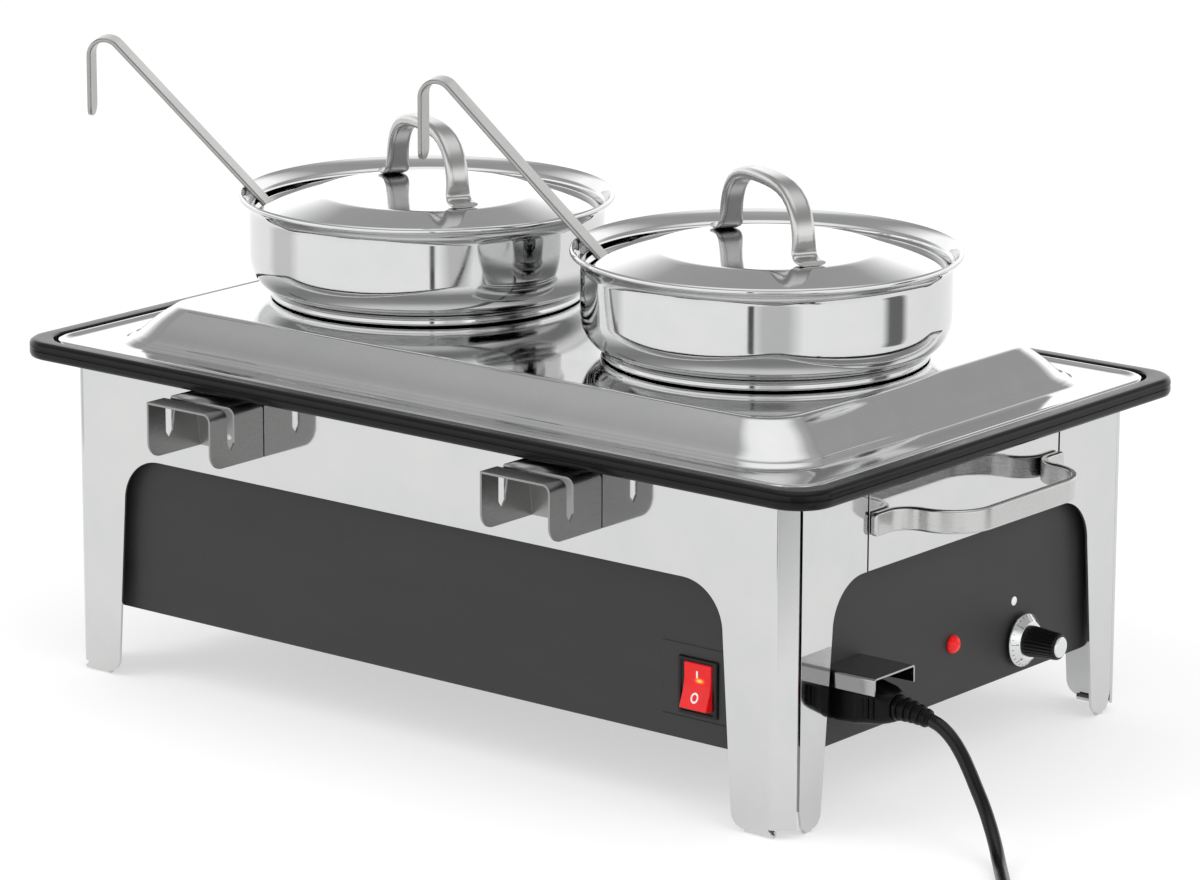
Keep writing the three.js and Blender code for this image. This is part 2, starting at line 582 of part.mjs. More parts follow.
function ladleBowlShape(turn) {
  const mouth = 35;
  const depth = 26;
  const wall = 1;
  const ball = (mouth * mouth + depth * depth) / (2 * depth);
  const half = Math.asin(mouth / ball);
  const profile = [];
  for (let i = 0; i <= 5; i += 1) {
    const angle = (half * i) / 5;
    profile.push([ball * Math.sin(angle), ball - depth - ball * Math.cos(angle)]);
  }
  for (let i = 5; i >= 0; i -= 1) {
    const angle = (half * i) / 5;
    profile.push([(ball - wall) * Math.sin(angle), ball - depth - (ball - wall) * Math.cos(angle)]);
  }
  const reach = mouth + LADLE_THICK / 2 + GAP;
  const place = ladleEnd.clone().addScaledVector(along, 7).addScaledVector(inward, reach);
  const bowl = turned(profile, 16).rotateY(Math.PI / 2 - lean);
  return bowl.translate(place.x, 0, place.y).rotateZ(degrees(turn));
}

for (const [side, x] of [['left', -POT_X], ['right', POT_X]]) {
  const place = new THREE.Group();
  place.position.x = x;
  unit.add(place);
  part(`${side}_pot`, turned(potProfile, 30), 'mirror_steel', place);
  part(`${side}_lid`, lidShape(), 'mirror_steel', place);
  part(`${side}_lid_handle`, lidHandleShape(), 'satin_steel', place);
  part(`${side}_ladle_handle`, ladleHandleShape(LADLE_TURN[side]), 'satin_steel', place);
  part(`${side}_ladle_bowl`, ladleBowlShape(LADLE_TURN[side]), 'satin_steel', place);
}

// Mains lead: connector in the inlet, strain relief, free lead, stored coil, plug and tie.
const connectorSections = [
  [-16, 11.6, 8.1], [3 + GAP, 11.6, 8.1], [4, 13.8, 10.2], [18, 13.8, 10.2], [30, 11, 9], [36, 8, 7.5],
];
const connector = loft(connectorSections.map(([z, wide, tall]) => {
  return { points: rounded(wide, tall, 4, 3), z };
}));
connector.rotateX(Math.PI / 2).rotateZ(Math.PI / 2);
let connectorBody = solid(connector.translate(HOUSING.x, INLET.y, INLET.z));
for (const [y, z] of [[-7, 1.8], [0, -2], [7, 1.8]]) {
  connectorBody = connectorBody.subtract(solid(block(
    HOUSING.x - 18, HOUSING.x - 3, INLET.y + y - 1.4, INLET.y + y + 1.4,
    INLET.z + z - 2.4, INLET.z + z + 2.4,
  )));
}
part('mains_connector', connectorBody, 'black_rubber');

// The strain relief droops as it narrows.
const reliefRings = [];
const reliefSteps = 5;
const reliefDroop = 17;
const reliefCentre = new THREE.Vector2(HOUSING.x + 36 + GAP, INLET.z);
for (let i = 0; i <= reliefSteps; i += 1) {
  const droop = degrees((reliefDroop * i) / reliefSteps);
  const radius = 7 - (2.2 * i) / reliefSteps;
  reliefRings.push(arc(0, 0, radius, 0, 330, 11).map((p) => new THREE.Vector3(
    reliefCentre.x + p.y * Math.sin(droop), INLET.y + p.x, reliefCentre.y + p.y * Math.cos(droop),
  )));
  reliefCentre.x += 4.2 * Math.cos(droop);
  reliefCentre.y -= 4.2 * Math.sin(droop);
}
part('strain_relief', skin(reliefRings), 'black_rubber');

// The lead's route, from the strain relief down to the table and away to the coil.
const route = [
  [303.6, -99, 62.4], [309.1, -99.4, 60.7], [316.4, -100.2, 56.4], [323.2, -101, 49.7],
  [329.2, -102.2, 42.1], [335.6, -104.2, 33.8], [341.8, -106, 25.2], [348.2, -109.4, 17.2],
  [354.9, -114.6, 10.6], [361.6, -121.4, 6.2], [368.6, -129.4, 4.1], [376.4, -138.9, 3.7],
  [385.2, -149.9, 3.7], [394.4, -161.3, 3.7], [403.6, -172.7, 3.7], [412.8, -184.1, 3.7],
  [423, -196.8, 3.7], [434.2, -210.7, 3.7],
].map(([x, y, z]) => new THREE.Vector3(x, y, z));
const lead = new THREE.CatmullRomCurve3(route);
const leadTube = new THREE.ExtrudeGeometry(roundSection(CORD / 2, 8), { steps: 30, extrudePath: lead });
part('mains_lead', leadTube, 'black_rubber');

const coilWide = (COIL.turnsWide * CORD) / 2 + 0.3;
const coilLow = 0.9;
const coilHigh = coilLow + COIL.turnsHigh * CORD + 0.3;
const coilInner = COIL.radius - coilWide;
const coilOuter = COIL.radius + coilWide;
const coilRing = turned([
  [coilInner, coilLow + 2], [coilInner + 2, coilLow], [coilOuter - 2, coilLow], [coilOuter, coilLow + 2],
  [coilOuter, coilHigh - 2], [coilOuter - 2, coilHigh], [coilInner + 2, coilHigh], [coilInner, coilHigh - 2],
  [coilInner, coilLow + 2],
], 24);
part('lead_coil', coilRing.translate(COIL.x, COIL.y, 0), 'black_rubber');

const tieFrame = new THREE.Shape(rounded(coilWide + 1.9, (coilHigh - coilLow) / 2 + 0.9, 2, 2));
tieFrame.holes.push(new THREE.Path(rounded(coilWide + 1.1, (coilHigh - coilLow) / 2 + 0.2, 2, 2)));
const tie = extrudeY(tieFrame, -4, 4).translate(COIL.radius, 0, (coilLow + coilHigh) / 2);
part('coil_tie', tie.rotateZ(degrees(60)).translate(COIL.x, COIL.y, 0), 'black_plastic');

// The plug leaves the coil on the side that faces away from the unit.
const plugTurn = 38.8;
const plugStart = 33;
const plug = solid(loft([
  [0, 5], [20, 7.5], [22, 12], [30, 14.5], [44, 18.5], [57, 18.5], [58, 17.5],
].map(([z, radius]) => ({ points: rounded(radius, radius, radius * 0.98, 4), z }))).rotateY(Math.PI / 2));
let plugBody = plug;
for (const y of [-9.5, 9.5]) {
  plugBody = plugBody.add(solid(cylinderX(2.4, 57, 76, y, 0, 10)));
}
const plugShape = toGeometry(plugBody).translate(plugStart, -COIL.radius, 18.9);
part('mains_plug', plugShape.rotateZ(degrees(plugTurn)).translate(COIL.x, COIL.y, 0), 'black_rubber');

export default unit;
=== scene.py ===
"""Looks of the electric steam table unit: bright sheet frame, soup pots, controls and mains lead."""
import bmesh
import bpy
import math
from mathutils import Matrix, Vector


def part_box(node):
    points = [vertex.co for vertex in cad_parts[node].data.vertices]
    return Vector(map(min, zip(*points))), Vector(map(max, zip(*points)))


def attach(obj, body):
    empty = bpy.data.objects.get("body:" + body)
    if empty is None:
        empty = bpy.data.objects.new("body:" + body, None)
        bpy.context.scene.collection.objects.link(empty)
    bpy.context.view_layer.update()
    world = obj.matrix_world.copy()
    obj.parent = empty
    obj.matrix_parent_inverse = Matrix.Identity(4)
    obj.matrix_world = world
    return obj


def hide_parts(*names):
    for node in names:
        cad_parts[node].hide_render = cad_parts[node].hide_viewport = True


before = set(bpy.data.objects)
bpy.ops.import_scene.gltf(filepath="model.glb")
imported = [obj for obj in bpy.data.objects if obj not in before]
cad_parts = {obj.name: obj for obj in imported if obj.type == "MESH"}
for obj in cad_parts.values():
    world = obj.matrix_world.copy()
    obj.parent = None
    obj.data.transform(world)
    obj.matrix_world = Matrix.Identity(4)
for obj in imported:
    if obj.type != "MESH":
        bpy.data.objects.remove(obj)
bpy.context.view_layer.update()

MM = 0.001
CENTRE_SHIFT = 12.0
QUARTER = math.pi / 2

# Main sizes in millimetres, before the unit is centred in depth.
SHEET = 1.5
SKIRT_X, SKIRT_Y, SKIRT_TOP = 253.0, 155.0, 180.7
FOLD, FLANGE = 9.0, 7.0
TOE = 2.4
ARCH_TOP, ARCH_RADIUS = 130.0, 26.0
SEAM_Y, SEAM_GAP = 87.0, 0.7
HANDLE_Z, STUD_Y = 155.0, 79.0
POT_X = 120.0
PLATE_TOP, HOLE_RADIUS = 209.5, 89.4
HOUSING_X, HOUSING_Y, HOUSING_LOW, HOUSING_TOP = 246.0, 148.0, 40.0, 137.0
INLET_Y, INLET_Z = -99.0, 65.5
CORD = 7.2
LID_TURN, LID_CUT, LID_CUT_TURN = math.radians(-27.3), 82.0, math.radians(-165)
LADLE_TURN = {"left": math.radians(-150), "right": math.radians(-157)}
LADLE_LEAN = math.radians(46.3)
HOOK_RADIUS = 9.0


def in_scene(name, data):
    """A new object in the scene."""
    made = bpy.data.objects.new(name, data)
    bpy.context.scene.collection.objects.link(made)
    return made


# ---------------------------------------------------------------- camera

def set_camera():
    azimuth, elevation, roll = (math.radians(a) for a in (38.790, 14.044, 0.195))
    distance = 2.9658
    right = Vector((math.cos(azimuth), math.sin(azimuth), 0))
    back = Vector((
        math.sin(azimuth) * math.cos(elevation),
        -math.cos(azimuth) * math.cos(elevation),
        math.sin(elevation),
    ))
    up = back.cross(right)
    target = right * 0.004368 + Vector((0, CENTRE_SHIFT * MM, 0.142935))
    side = right * math.cos(roll) + up * math.sin(roll)
    top = up * math.cos(roll) - right * math.sin(roll)
    camera = in_scene("camera", bpy.data.cameras.new("camera"))
    camera.data.sensor_width = 36
    camera.data.lens = 160
    camera.data.clip_end = 60
    turn = Matrix((side, top, back)).transposed().to_4x4()
    camera.matrix_world = Matrix.Translation(target + back * distance) @ turn
    bpy.context.scene.camera = camera


set_camera()


# ---------------------------------------------------------------- mesh helpers

def move(bm, x=0.0, y=0.0, z=0.0, verts=None):
    bmesh.ops.translate(bm, verts=verts or bm.verts, vec=(x, y, z))


def stretch(bm, x, y, z, verts=None):
    bmesh.ops.scale(bm, verts=verts or bm.verts, vec=(x, y, z))


def turn_over(bm, angle, axis="Z", centre=(0, 0, 0)):
    bmesh.ops.rotate(bm, verts=bm.verts, cent=centre, matrix=Matrix.Rotation(angle, 3, axis))


def laid_over(bm, axis, x=0.0, y=0.0, z=0.0):
    """Lays an upright part over by a quarter turn and puts it in its place."""
    turn_over(bm, QUARTER, axis)
    move(bm, x, y, z)
    return bm


def half_turned(bm):
    """The same part at the other side of the unit."""
    turn_over(bm, math.pi)
    return bm


def mirrored(bm, axis):
    """The part as seen in a mirror across one axis."""
    stretch(bm, *[-1 if letter == axis else 1 for letter in "xyz"])
    bmesh.ops.reverse_faces(bm, faces=bm.faces)
    return bm


def to_frame(bm):
    """Millimetres in the unit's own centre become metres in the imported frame."""
    move(bm, y=CENTRE_SHIFT)
    stretch(bm, MM, MM, MM)


def as_mesh(name, bm):
    mesh = bpy.data.meshes.new(name)
    bm.to_mesh(mesh)
    bm.free()
    return mesh


def joined(*parts):
    """One mesh from several."""
    whole = bmesh.new()
    for bm in parts:
        mesh = as_mesh("joining", bm)
        whole.from_mesh(mesh)
        bpy.data.meshes.remove(mesh)
    return whole


def round_off(bm, geom, offset, segments, affect="VERTICES", clamp=False):
    """Rounds corners, or whole edges, of an outline or a sheet."""
    bmesh.ops.bevel(
        bm, geom=geom, offset=offset, offset_type="OFFSET", segments=segments, profile=0.5,
        affect=affect, clamp_overlap=clamp, material=-1,
    )


def only(made, kind):
    """The points or the edges among what an operator made."""
    return [item for item in made["geom"] if isinstance(item, kind)]


def pulled(bm, edges):
    """Extrudes edges. The new points and the new edges still lie on the old ones."""
    made = bmesh.ops.extrude_edge_only(bm, edges=edges)
    return only(made, bmesh.types.BMVert), only(made, bmesh.types.BMEdge)


def near(a, b):
    return abs(a - b) < 0.01


def edges_where(bm, test, faces=None):
    """Edges with both ends where the test holds, and with that many faces if a number is given."""
    return [
        edge for edge in bm.edges
        if all(test(vert.co) for vert in edge.verts) and faces in (None, len(edge.link_faces))
    ]


def facing_out(bm, outside):
    """Faces of an open sheet look outside before it gets its thickness."""
    outside = Vector(outside)
    bmesh.ops.remove_doubles(bm, verts=bm.verts, dist=0.002)
    bmesh.ops.recalc_face_normals(bm, faces=bm.faces)
    level = [face for face in bm.faces if abs(face.normal.dot(outside)) > 0.9]
    if max(level, key=lambda face: face.calc_area()).normal.dot(outside) < 0:
        bmesh.ops.reverse_faces(bm, faces=bm.faces)
    return bm


def smooth(share):
    """Eases a share from 0 to 1 in and out."""
    share = min(max(share, 0), 1)
    return share * share * (3 - 2 * share)


FINISHES = {}


def modify(made, name, kind, **settings):
    modifier = made.modifiers.new(name, kind)
    for setting, value in settings.items():
        setattr(modifier, setting, value)


def piece(name, bm, body, slot, stands_for=(), finish=None, wall=0.0, edge=0.0, steps=3,
          outwards=False):
    """Turns a finished mesh into a piece that rides on its body and stands for its CAD nodes.
    Its finish has its slot's name unless another is given, wall gives a sheet its thickness
    inwards, and edge rounds its corners."""
    bmesh.ops.remove_doubles(bm, verts=bm.verts, dist=0.002)
    if not outwards:
        bmesh.ops.recalc_face_normals(bm, faces=bm.faces)
    to_frame(bm)
    mesh = as_mesh(name, bm)
    mesh.shade_smooth()
    mesh.materials.append(FINISHES[finish or slot])
    made = in_scene(name, mesh)
    if wall:
        modify(made, "wall", "SOLIDIFY", thickness=wall * MM, offset=-1, use_even_offset=True)
    if edge:
        modify(
            made, "edge", "BEVEL", width=edge * MM, segments=steps, limit_method="ANGLE",
            angle_limit=math.radians(32), miter_outer="MITER_ARC",
        )
    mesh.set_sharp_from_angle(angle=math.radians(50))
    modify(made, "shade", "WEIGHTED_NORMAL", keep_sharp=True, weight=100)
    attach(made, body)
    if stands_for:
        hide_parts(*stands_for)
    return made


def eased(node, body, slot, edge):
    """A CAD part whose corners are rounded and whose flat faces are made whole."""
    bm = bmesh.new()
    bm.from_mesh(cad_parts[node].data)
    bmesh.ops.remove_doubles(bm, verts=bm.verts, dist=1e-6)
    bmesh.ops.dissolve_limit(
        bm, angle_limit=math.radians(2), verts=bm.verts, edges=bm.edges, use_dissolve_boundaries=False,
    )
    stretch(bm, 1 / MM, 1 / MM, 1 / MM)
    move(bm, y=-CENTRE_SHIFT)
    piece(node + "_finished", bm, body, slot, [node], edge=edge, outwards=True)


def loop(bm, half_x, half_y, radius, z, steps):
    """Edges of a rounded rectangle at one height."""
    others = set(bm.faces)
    corners = bmesh.ops.create_grid(bm, x_segments=1, y_segments=1, size=1.0)["verts"]
    stretch(bm, half_x, half_y, 1, corners)
    move(bm, z=z, verts=corners)
    round_off(bm, corners, radius, steps)
    face = next(f for f in bm.faces if f not in others)
    edges = face.edges[:]
    bmesh.ops.delete(bm, geom=[face], context="FACES_ONLY")
    return edges


def loft(rings, closed=False, cap_low=False, cap_high=False, steps=12):
    """A skin over rounded rectangles given as (half x, half y, radius, height)."""
    bm = bmesh.new()
    loops = [loop(bm, *ring, steps) for ring in rings]
    for low, high in zip(loops, loops[1:] + (loops[:1] if closed else [])):
        bmesh.ops.bridge_loops(bm, edges=low + high)
    if cap_low:
        bmesh.ops.contextual_create(bm, geom=loops[0])
    if cap_high:
        bmesh.ops.contextual_create(bm, geom=loops[-1])
    return bm


def drawn_in(half_x, half_y, radius, *rows):
    """Rings inside one rounded rectangle, from rows of (how far in, height)."""
    return [(half_x - far, half_y - far, radius - far, z) for far, z in rows]


def turned(profile, steps=96, rounds=()):
    """A body of revolution about Z from (radius, height) points.
    rounds gives (first point, last point, offset) for the corners that are eased."""
    bm = bmesh.new()
    verts = [bm.verts.new((radius, 0, z)) for radius, z in profile]
    for pair in zip(verts, verts[1:]):
        bm.edges.new(pair)
    for first, last, offset in rounds:
        round_off(bm, verts[first:last + 1], offset, 4, clamp=True)
    bmesh.ops.spin(
        bm, geom=bm.verts[:] + bm.edges[:], cent=(0, 0, 0), axis=(0, 0, 1),
        angle=math.tau, steps=steps, use_merge=True,
    )
    bmesh.ops.remove_doubles(bm, verts=bm.verts, dist=0.001)
    grain = bm.verts.layers.float_vector.new("grain")
    for vert in bm.verts:
        x, y, z = vert.co
        around = 0.02 * math.sin(math.atan2(y, x))
        vert[grain] = (around, math.hypot(x, y) * MM, z * MM)
    return bm


def bar_section(wide, thick, corner, steps=4):
    """The face of a flat bar with rounded corners."""
    bm = bmesh.new()
    bmesh.ops.create_grid(bm, x_segments=1, y_segments=1, size=0.5)
    stretch(bm, wide, thick, 1)
    round_off(bm, bm.verts[:], corner, steps)
    return bm


def round_section(radius, sides):
    bm = bmesh.new()
    bmesh.ops.create_circle(bm, cap_ends=True, radius=radius, segments=sides)
    return bm


def drawn_along(bm, path, side, sizes=None):
    """Draws a section along a flat path. side is the direction of the section's own X,
    and sizes gives a (width, thickness) factor at each point of the path."""
    side = Vector(side).normalized()
    path = [Vector(point) for point in path]
    sizes = sizes or [(1, 1)] * len(path)
    places = []
    for i, (point, size) in enumerate(zip(path, sizes)):
        ahead = path[min(i + 1, len(path) - 1)] - path[max(i - 1, 0)]
        ahead.normalize()
        across = ahead.cross(side).normalized()
        turn = Matrix((side, across, ahead)).transposed().to_4x4()
        places.append(Matrix.Translation(point) @ turn @ Matrix.Diagonal((*size, 1, 1)))
    grain = bm.verts.layers.float_vector.new("grain")
    for vert in bm.verts:
        vert[grain] = (0, vert.co.x * MM, vert.co.y * MM)
    edges = bm.edges[:]
    bmesh.ops.transform(bm, matrix=places[0], verts=bm.verts)
    run = 0.0
    for i in range(1, len(path)):
        run += (path[i] - path[i - 1]).length * MM
        verts, edges = pulled(bm, edges)
        bmesh.ops.transform(bm, matrix=places[i] @ places[i - 1].inverted(), verts=verts)
        for vert in verts:
            vert[grain] = (run, *vert[grain][1:])
    bmesh.ops.contextual_create(bm, geom=edges)
    return bm


def bow(x, z, radius, start, end, steps=12):
    """Points of an arc as (across, up) pairs, with angles in degrees."""
    points = []
    for i in range(steps + 1):
        angle = math.radians(start + (end - start) * i / steps)
        points.append((x + radius * math.cos(angle), z + radius * math.sin(angle)))
    return points


def block(x0, x1, y0, y1, z0, z1):
    bm = bmesh.new()
    bmesh.ops.create_cube(bm, size=1.0)
    stretch(bm, x1 - x0, y1 - y0, z1 - z0)
    move(bm, (x0 + x1) / 2, (y0 + y1) / 2, (z0 + z1) / 2)
    return bm


def plate_of(points, rounds=()):
    """A flat face in X and Z through corner points.
    rounds gives (points, offset) for the corners that are eased."""
    bm = bmesh.new()
    verts = [bm.verts.new((x, 0, z)) for x, z in points]
    bm.faces.new(verts)
    for which, offset in rounds:
        round_off(bm, [verts[i] for i in which], offset, 14)
    return bm


# ---------------------------------------------------------------- finishes

class Finish:
    """A procedural material: one shader and the nodes that vary it."""

    def __init__(self, name, colour, roughness, metallic=0.0, **constants):
        self.material = bpy.data.materials.new(name)
        self.material.use_nodes = True
        self.nodes = self.material.node_tree.nodes
        self.links = self.material.node_tree.links
        self.shader = self.nodes["Principled BSDF"]
        self.colour = colour
        self.normal = None
        self.give(Base_Color=(*colour, 1), Roughness=roughness, Metallic=metallic, **constants)
        FINISHES[name] = self.material

    def feed(self, socket, value):
        """Gives a socket a number, or links another node's output to it."""
        if isinstance(value, bpy.types.NodeSocket):
            self.links.new(value, socket)
        else:
            socket.default_value = value

    def give(self, **values):
        for socket, value in values.items():
            self.feed(self.shader.inputs[socket.replace("_", " ")], value)

    def node(self, kind, out, inputs=None, **settings):
        """Adds a node and returns one of its outputs."""
        made = self.nodes.new("ShaderNode" + kind)
        for setting, value in settings.items():
            setattr(made, setting, value)
        for socket, value in (inputs or {}).items():
            self.feed(made.inputs[socket], value)
        return made.outputs[out]

    def place(self, stretched=(1, 1, 1), shift=(0, 0, 0), along=False):
        """Coordinates in metres, from the object or from a drawn piece's own run."""
        if along:
            source = self.node("Attribute", "Vector", attribute_name="grain")
        else:
            source = self.node("TexCoord", "Object")
        return self.node(
            "Mapping", "Vector", {"Vector": source, "Scale": stretched, "Location": shift},
        )

    def noise(self, where, scale, detail=3.0, rough=0.5):
        return self.node("TexNoise", "Fac", {
            "Vector": where, "Scale": scale, "Detail": detail, "Roughness": rough,
        })

    def spread(self, value, low, high, start=0.3, end=0.7):
        """Turns a noise value into a range of numbers."""
        return self.node("MapRange", "Result", {
            "Value": value, "From Min": start, "From Max": end, "To Min": low, "To Max": high,
        })

    def sum(self, first, second):
        return self.node("Math", "Value", {0: first, 1: second}, operation="ADD")

    def length(self, where):
        return self.node("VectorMath", "Value", {0: where}, operation="LENGTH")

    def tone(self, value, shade, start=0.3, end=0.7):
        """Lets the colour move between its own tone and a second one."""
        self.give(Base_Color=self.node("Mix", "Result", {
            "A": (*self.colour, 1), "B": (*shade, 1), "Factor": self.spread(value, 0, 1, start, end),
        }, data_type="RGBA"))

    def gloss(self, value, low, high, start=0.3, end=0.7):
        self.give(Roughness=self.spread(value, low, high, start, end))

    def relief(self, value, height, strength=1.0):
        """Adds a bump of the given height in metres to those already there."""
        inputs = {"Strength": strength, "Distance": height, "Height": value}
        if self.normal is not None:
            inputs["Normal"] = self.normal
        self.normal = self.node("Bump", "Normal", inputs)
        self.give(Normal=self.normal)


def set_stops(ramp, stops):
    """Gives a colour ramp its stops, in order, as (place, colour) pairs."""
    elements = ramp.color_ramp.elements
    for end in (0, -1):
        elements[end].position, elements[end].color = stops[end][0], (*stops[end][1], 1)
    for place, colour in stops[1:-1]:
        elements.new(place).color = (*colour, 1)


def mirror_sheet(name, lines):
    """Bright polished sheet: a clear mirror with a faint haze and polishing lines."""
    made = Finish(name, (0.625, 0.625, 0.62), 0.06, 1.0)
    haze = made.noise(made.place(), 26, 4, 0.6)
    rubbed = made.noise(made.place(lines), 1.0, 3, 0.6)
    made.tone(haze, (0.59, 0.595, 0.60))
    made.gloss(made.sum(haze, made.spread(rubbed, -0.1, 0.1)), 0.035, 0.085, 0.25, 0.75)
    made.relief(made.noise(made.place(), 7, 1), 0.0006, 0.25)
    made.relief(rubbed, 0.000004, 0.5)


def mirror_pressing(name, spun):
    """Pressed and buffed steel, with faint buffing rings where the piece was spun."""
    made = Finish(name, (0.66, 0.66, 0.655), 0.05, 1.0)
    haze = made.noise(made.place(), 38, 4, 0.6)
    lines = (14, 2600, 2600) if spun else (700, 90, 700)
    rubbed = made.noise(made.place(lines, along=spun), 1.0, 2, 0.5)
    made.tone(haze, (0.62, 0.625, 0.63))
    made.gloss(made.sum(haze, made.spread(rubbed, -0.12, 0.12)), 0.03, 0.09, 0.25, 0.75)
    made.relief(made.noise(made.place(), 16, 1), 0.0002, 0.2)
    made.relief(rubbed, 0.000003, 0.5)


def satin_steel(name, lines, low, high, colour=(0.60, 0.60, 0.595), along=True):
    """Brushed steel: the grain runs along the bar or sheet."""
    made = Finish(name, colour, 0.3, 1.0)
    brushed = made.noise(made.place(lines, along=along), 1.0, 4, 0.65)
    clouds = made.noise(made.place(), 60, 3)
    made.tone(brushed, tuple(c * 0.95 for c in colour))
    made.gloss(made.sum(made.spread(clouds, -0.12, 0.12), brushed), low, high, 0.25, 0.75)
    made.relief(brushed, 0.000004, 0.5)


def moulded(name, colour, low, high, grain, height, shade=1.5, **constants):
    """Moulded plastic or rubber with a fine texture and slight wear."""
    made = Finish(name, colour, (low + high) / 2, 0.0, **constants)
    fine = made.noise(made.place(), grain, 3, 0.6)
    wear = made.noise(made.place(), 42, 4, 0.6)
    made.tone(wear, tuple(c * shade for c in colour), 0.45, 0.8)
    made.gloss(made.sum(made.spread(fine, -0.15, 0.15), wear), low, high, 0.25, 0.75)
    made.relief(fine, height, 0.6)


def powder_coat(name):
    """Matt anthracite powder coat with orange peel."""
    made = Finish(name, (0.023, 0.023, 0.0235), 0.5, 0.0, Specular_IOR_Level=0.3)
    peel = made.noise(made.place(), 900, 2, 0.5)
    speck = made.noise(made.place(), 2600, 2, 0.6)
    wear = made.noise(made.place((1, 1, 3)), 14, 4, 0.6)
    made.tone(made.sum(made.spread(speck, -0.12, 0.12), wear), (0.030, 0.030, 0.0312))
    made.gloss(wear, 0.42, 0.56)
    made.relief(peel, 0.00006, 0.55)
    made.relief(speck, 0.00002, 0.4)


def red_plastic(name, lamp=None):
    """Red translucent plastic. lamp is where its lamp shows through, in metres."""
    made = Finish(
        name, (0.50, 0.004, 0.006), 0.20, 0.0, Coat_Weight=0.08, Coat_Roughness=0.12,
        Subsurface_Weight=0.15, Subsurface_Scale=0.001, Specular_IOR_Level=0.28,
        Subsurface_Radius=(1.0, 0.05, 0.04), Emission_Color=(0.9, 0.01, 0.012, 1),
        Emission_Strength=0.30,
    )
    cloud = made.noise(made.place(), 130, 2)
    made.tone(cloud, (0.58, 0.008, 0.010))
    made.gloss(cloud, 0.12, 0.24)
    made.relief(made.noise(made.place(), 700, 2), 0.00002, 0.4)
    if lamp is None:
        return
    glow_size = (0.0042, 0.012, 0.0019)
    sizes = tuple(1 / size for size in glow_size)
    where = made.place(sizes, tuple(-c * s for c, s in zip(lamp, sizes)))
    reach = made.length(where)
    lit = made.nodes.new("ShaderNodeValToRGB")
    set_stops(lit, [
        (0.0, (1.0, 0.85, 0.10)), (0.42, (1.0, 0.42, 0.02)), (0.78, (0.95, 0.05, 0.012)),
        (1.0, (0.9, 0.010, 0.012)),
    ])
    made.feed(lit.inputs["Fac"], reach)
    strength = made.spread(reach, 1.5, 0.22, 0.1, 1.0)
    made.give(Emission_Color=lit.outputs["Color"], Emission_Strength=strength)


def heat_tinted(name):
    """Heater tube steel with straw and blue heat colours."""
    made = Finish(name, (0.30, 0.28, 0.25), 0.45, 0.85)
    patches = made.noise(made.place(), 22, 4, 0.6)
    made.tone(patches, (0.20, 0.17, 0.16))
    made.gloss(patches, 0.36, 0.58)
    made.relief(made.noise(made.place(), 800, 3), 0.00005, 0.5)


mirror_sheet("polished_skirt", (6, 6, 2200))
mirror_pressing("mirror_plate", False)
mirror_pressing("mirror_spun", True)
satin_steel("handle_steel", (40, 4500, 4500), 0.22, 0.32, (0.55, 0.55, 0.545))
satin_steel("grip_steel", (90, 6500, 6500), 0.17, 0.27, (0.52, 0.52, 0.515))
satin_steel("ladle_steel", (60, 5200, 5200), 0.22, 0.34, (0.36, 0.36, 0.355))
satin_steel("bowl_steel", (40, 5000, 5000), 0.18, 0.32)
satin_steel("dial_silver", (30, 2600, 2600), 0.16, 0.28, (0.74, 0.745, 0.75))
satin_steel("holder_steel", (5200, 40, 5200), 0.26, 0.33, (0.30, 0.30, 0.297), along=False)
satin_steel("cover_steel", (60, 4500, 4500), 0.12, 0.20, (0.42, 0.42, 0.415), along=False)
satin_steel("pan_steel", (12, 700, 1500), 0.26, 0.42, along=False)
satin_steel("fastener_steel", (400, 400, 400), 0.25, 0.42, along=False)
satin_steel("brass", (900, 900, 900), 0.2, 0.34, (0.70, 0.58, 0.34), along=False)
for name, colour, low, high, grain, height, shine in (
    ("rim_plastic", (0.0035, 0.0035, 0.0036), 0.17, 0.27, 1400, 0.000008, 0.20),
    ("control_plastic", (0.004, 0.004, 0.004), 0.22, 0.34, 1800, 0.00001, 0.3),
    ("grip_plastic", (0.003, 0.003, 0.003), 0.30, 0.42, 1500, 0.00002, 0.25),
    ("cord_rubber", (0.004, 0.004, 0.0041), 0.20, 0.30, 900, 0.00002, 0.3),
    ("plug_rubber", (0.0022, 0.0022, 0.0023), 0.28, 0.42, 1300, 0.00003, 0.14),
):
    moulded(name, colour, low, high, grain, height, Specular_IOR_Level=shine)
moulded("foot_rubber", (0.010, 0.010, 0.010), 0.6, 0.8, 800, 0.00008)
moulded("tie_plastic", (0.012, 0.012, 0.012), 0.3, 0.42, 900, 0.00002)
moulded("insulator", (0.66, 0.60, 0.46), 0.4, 0.55, 900, 0.00003, 0.85)
moulded("print_white", (0.80, 0.80, 0.79), 0.35, 0.5, 1500, 0.00001, 0.94)
moulded("mark_black", (0.03, 0.03, 0.03), 0.4, 0.5, 1500, 0.00001)
powder_coat("housing_paint")
heat_tinted("element_steel")
red_plastic("lamp_lens")
red_plastic("rocker_lens", (0.1925, -0.1405, 0.0742))


# ---------------------------------------------------------------- mains lead

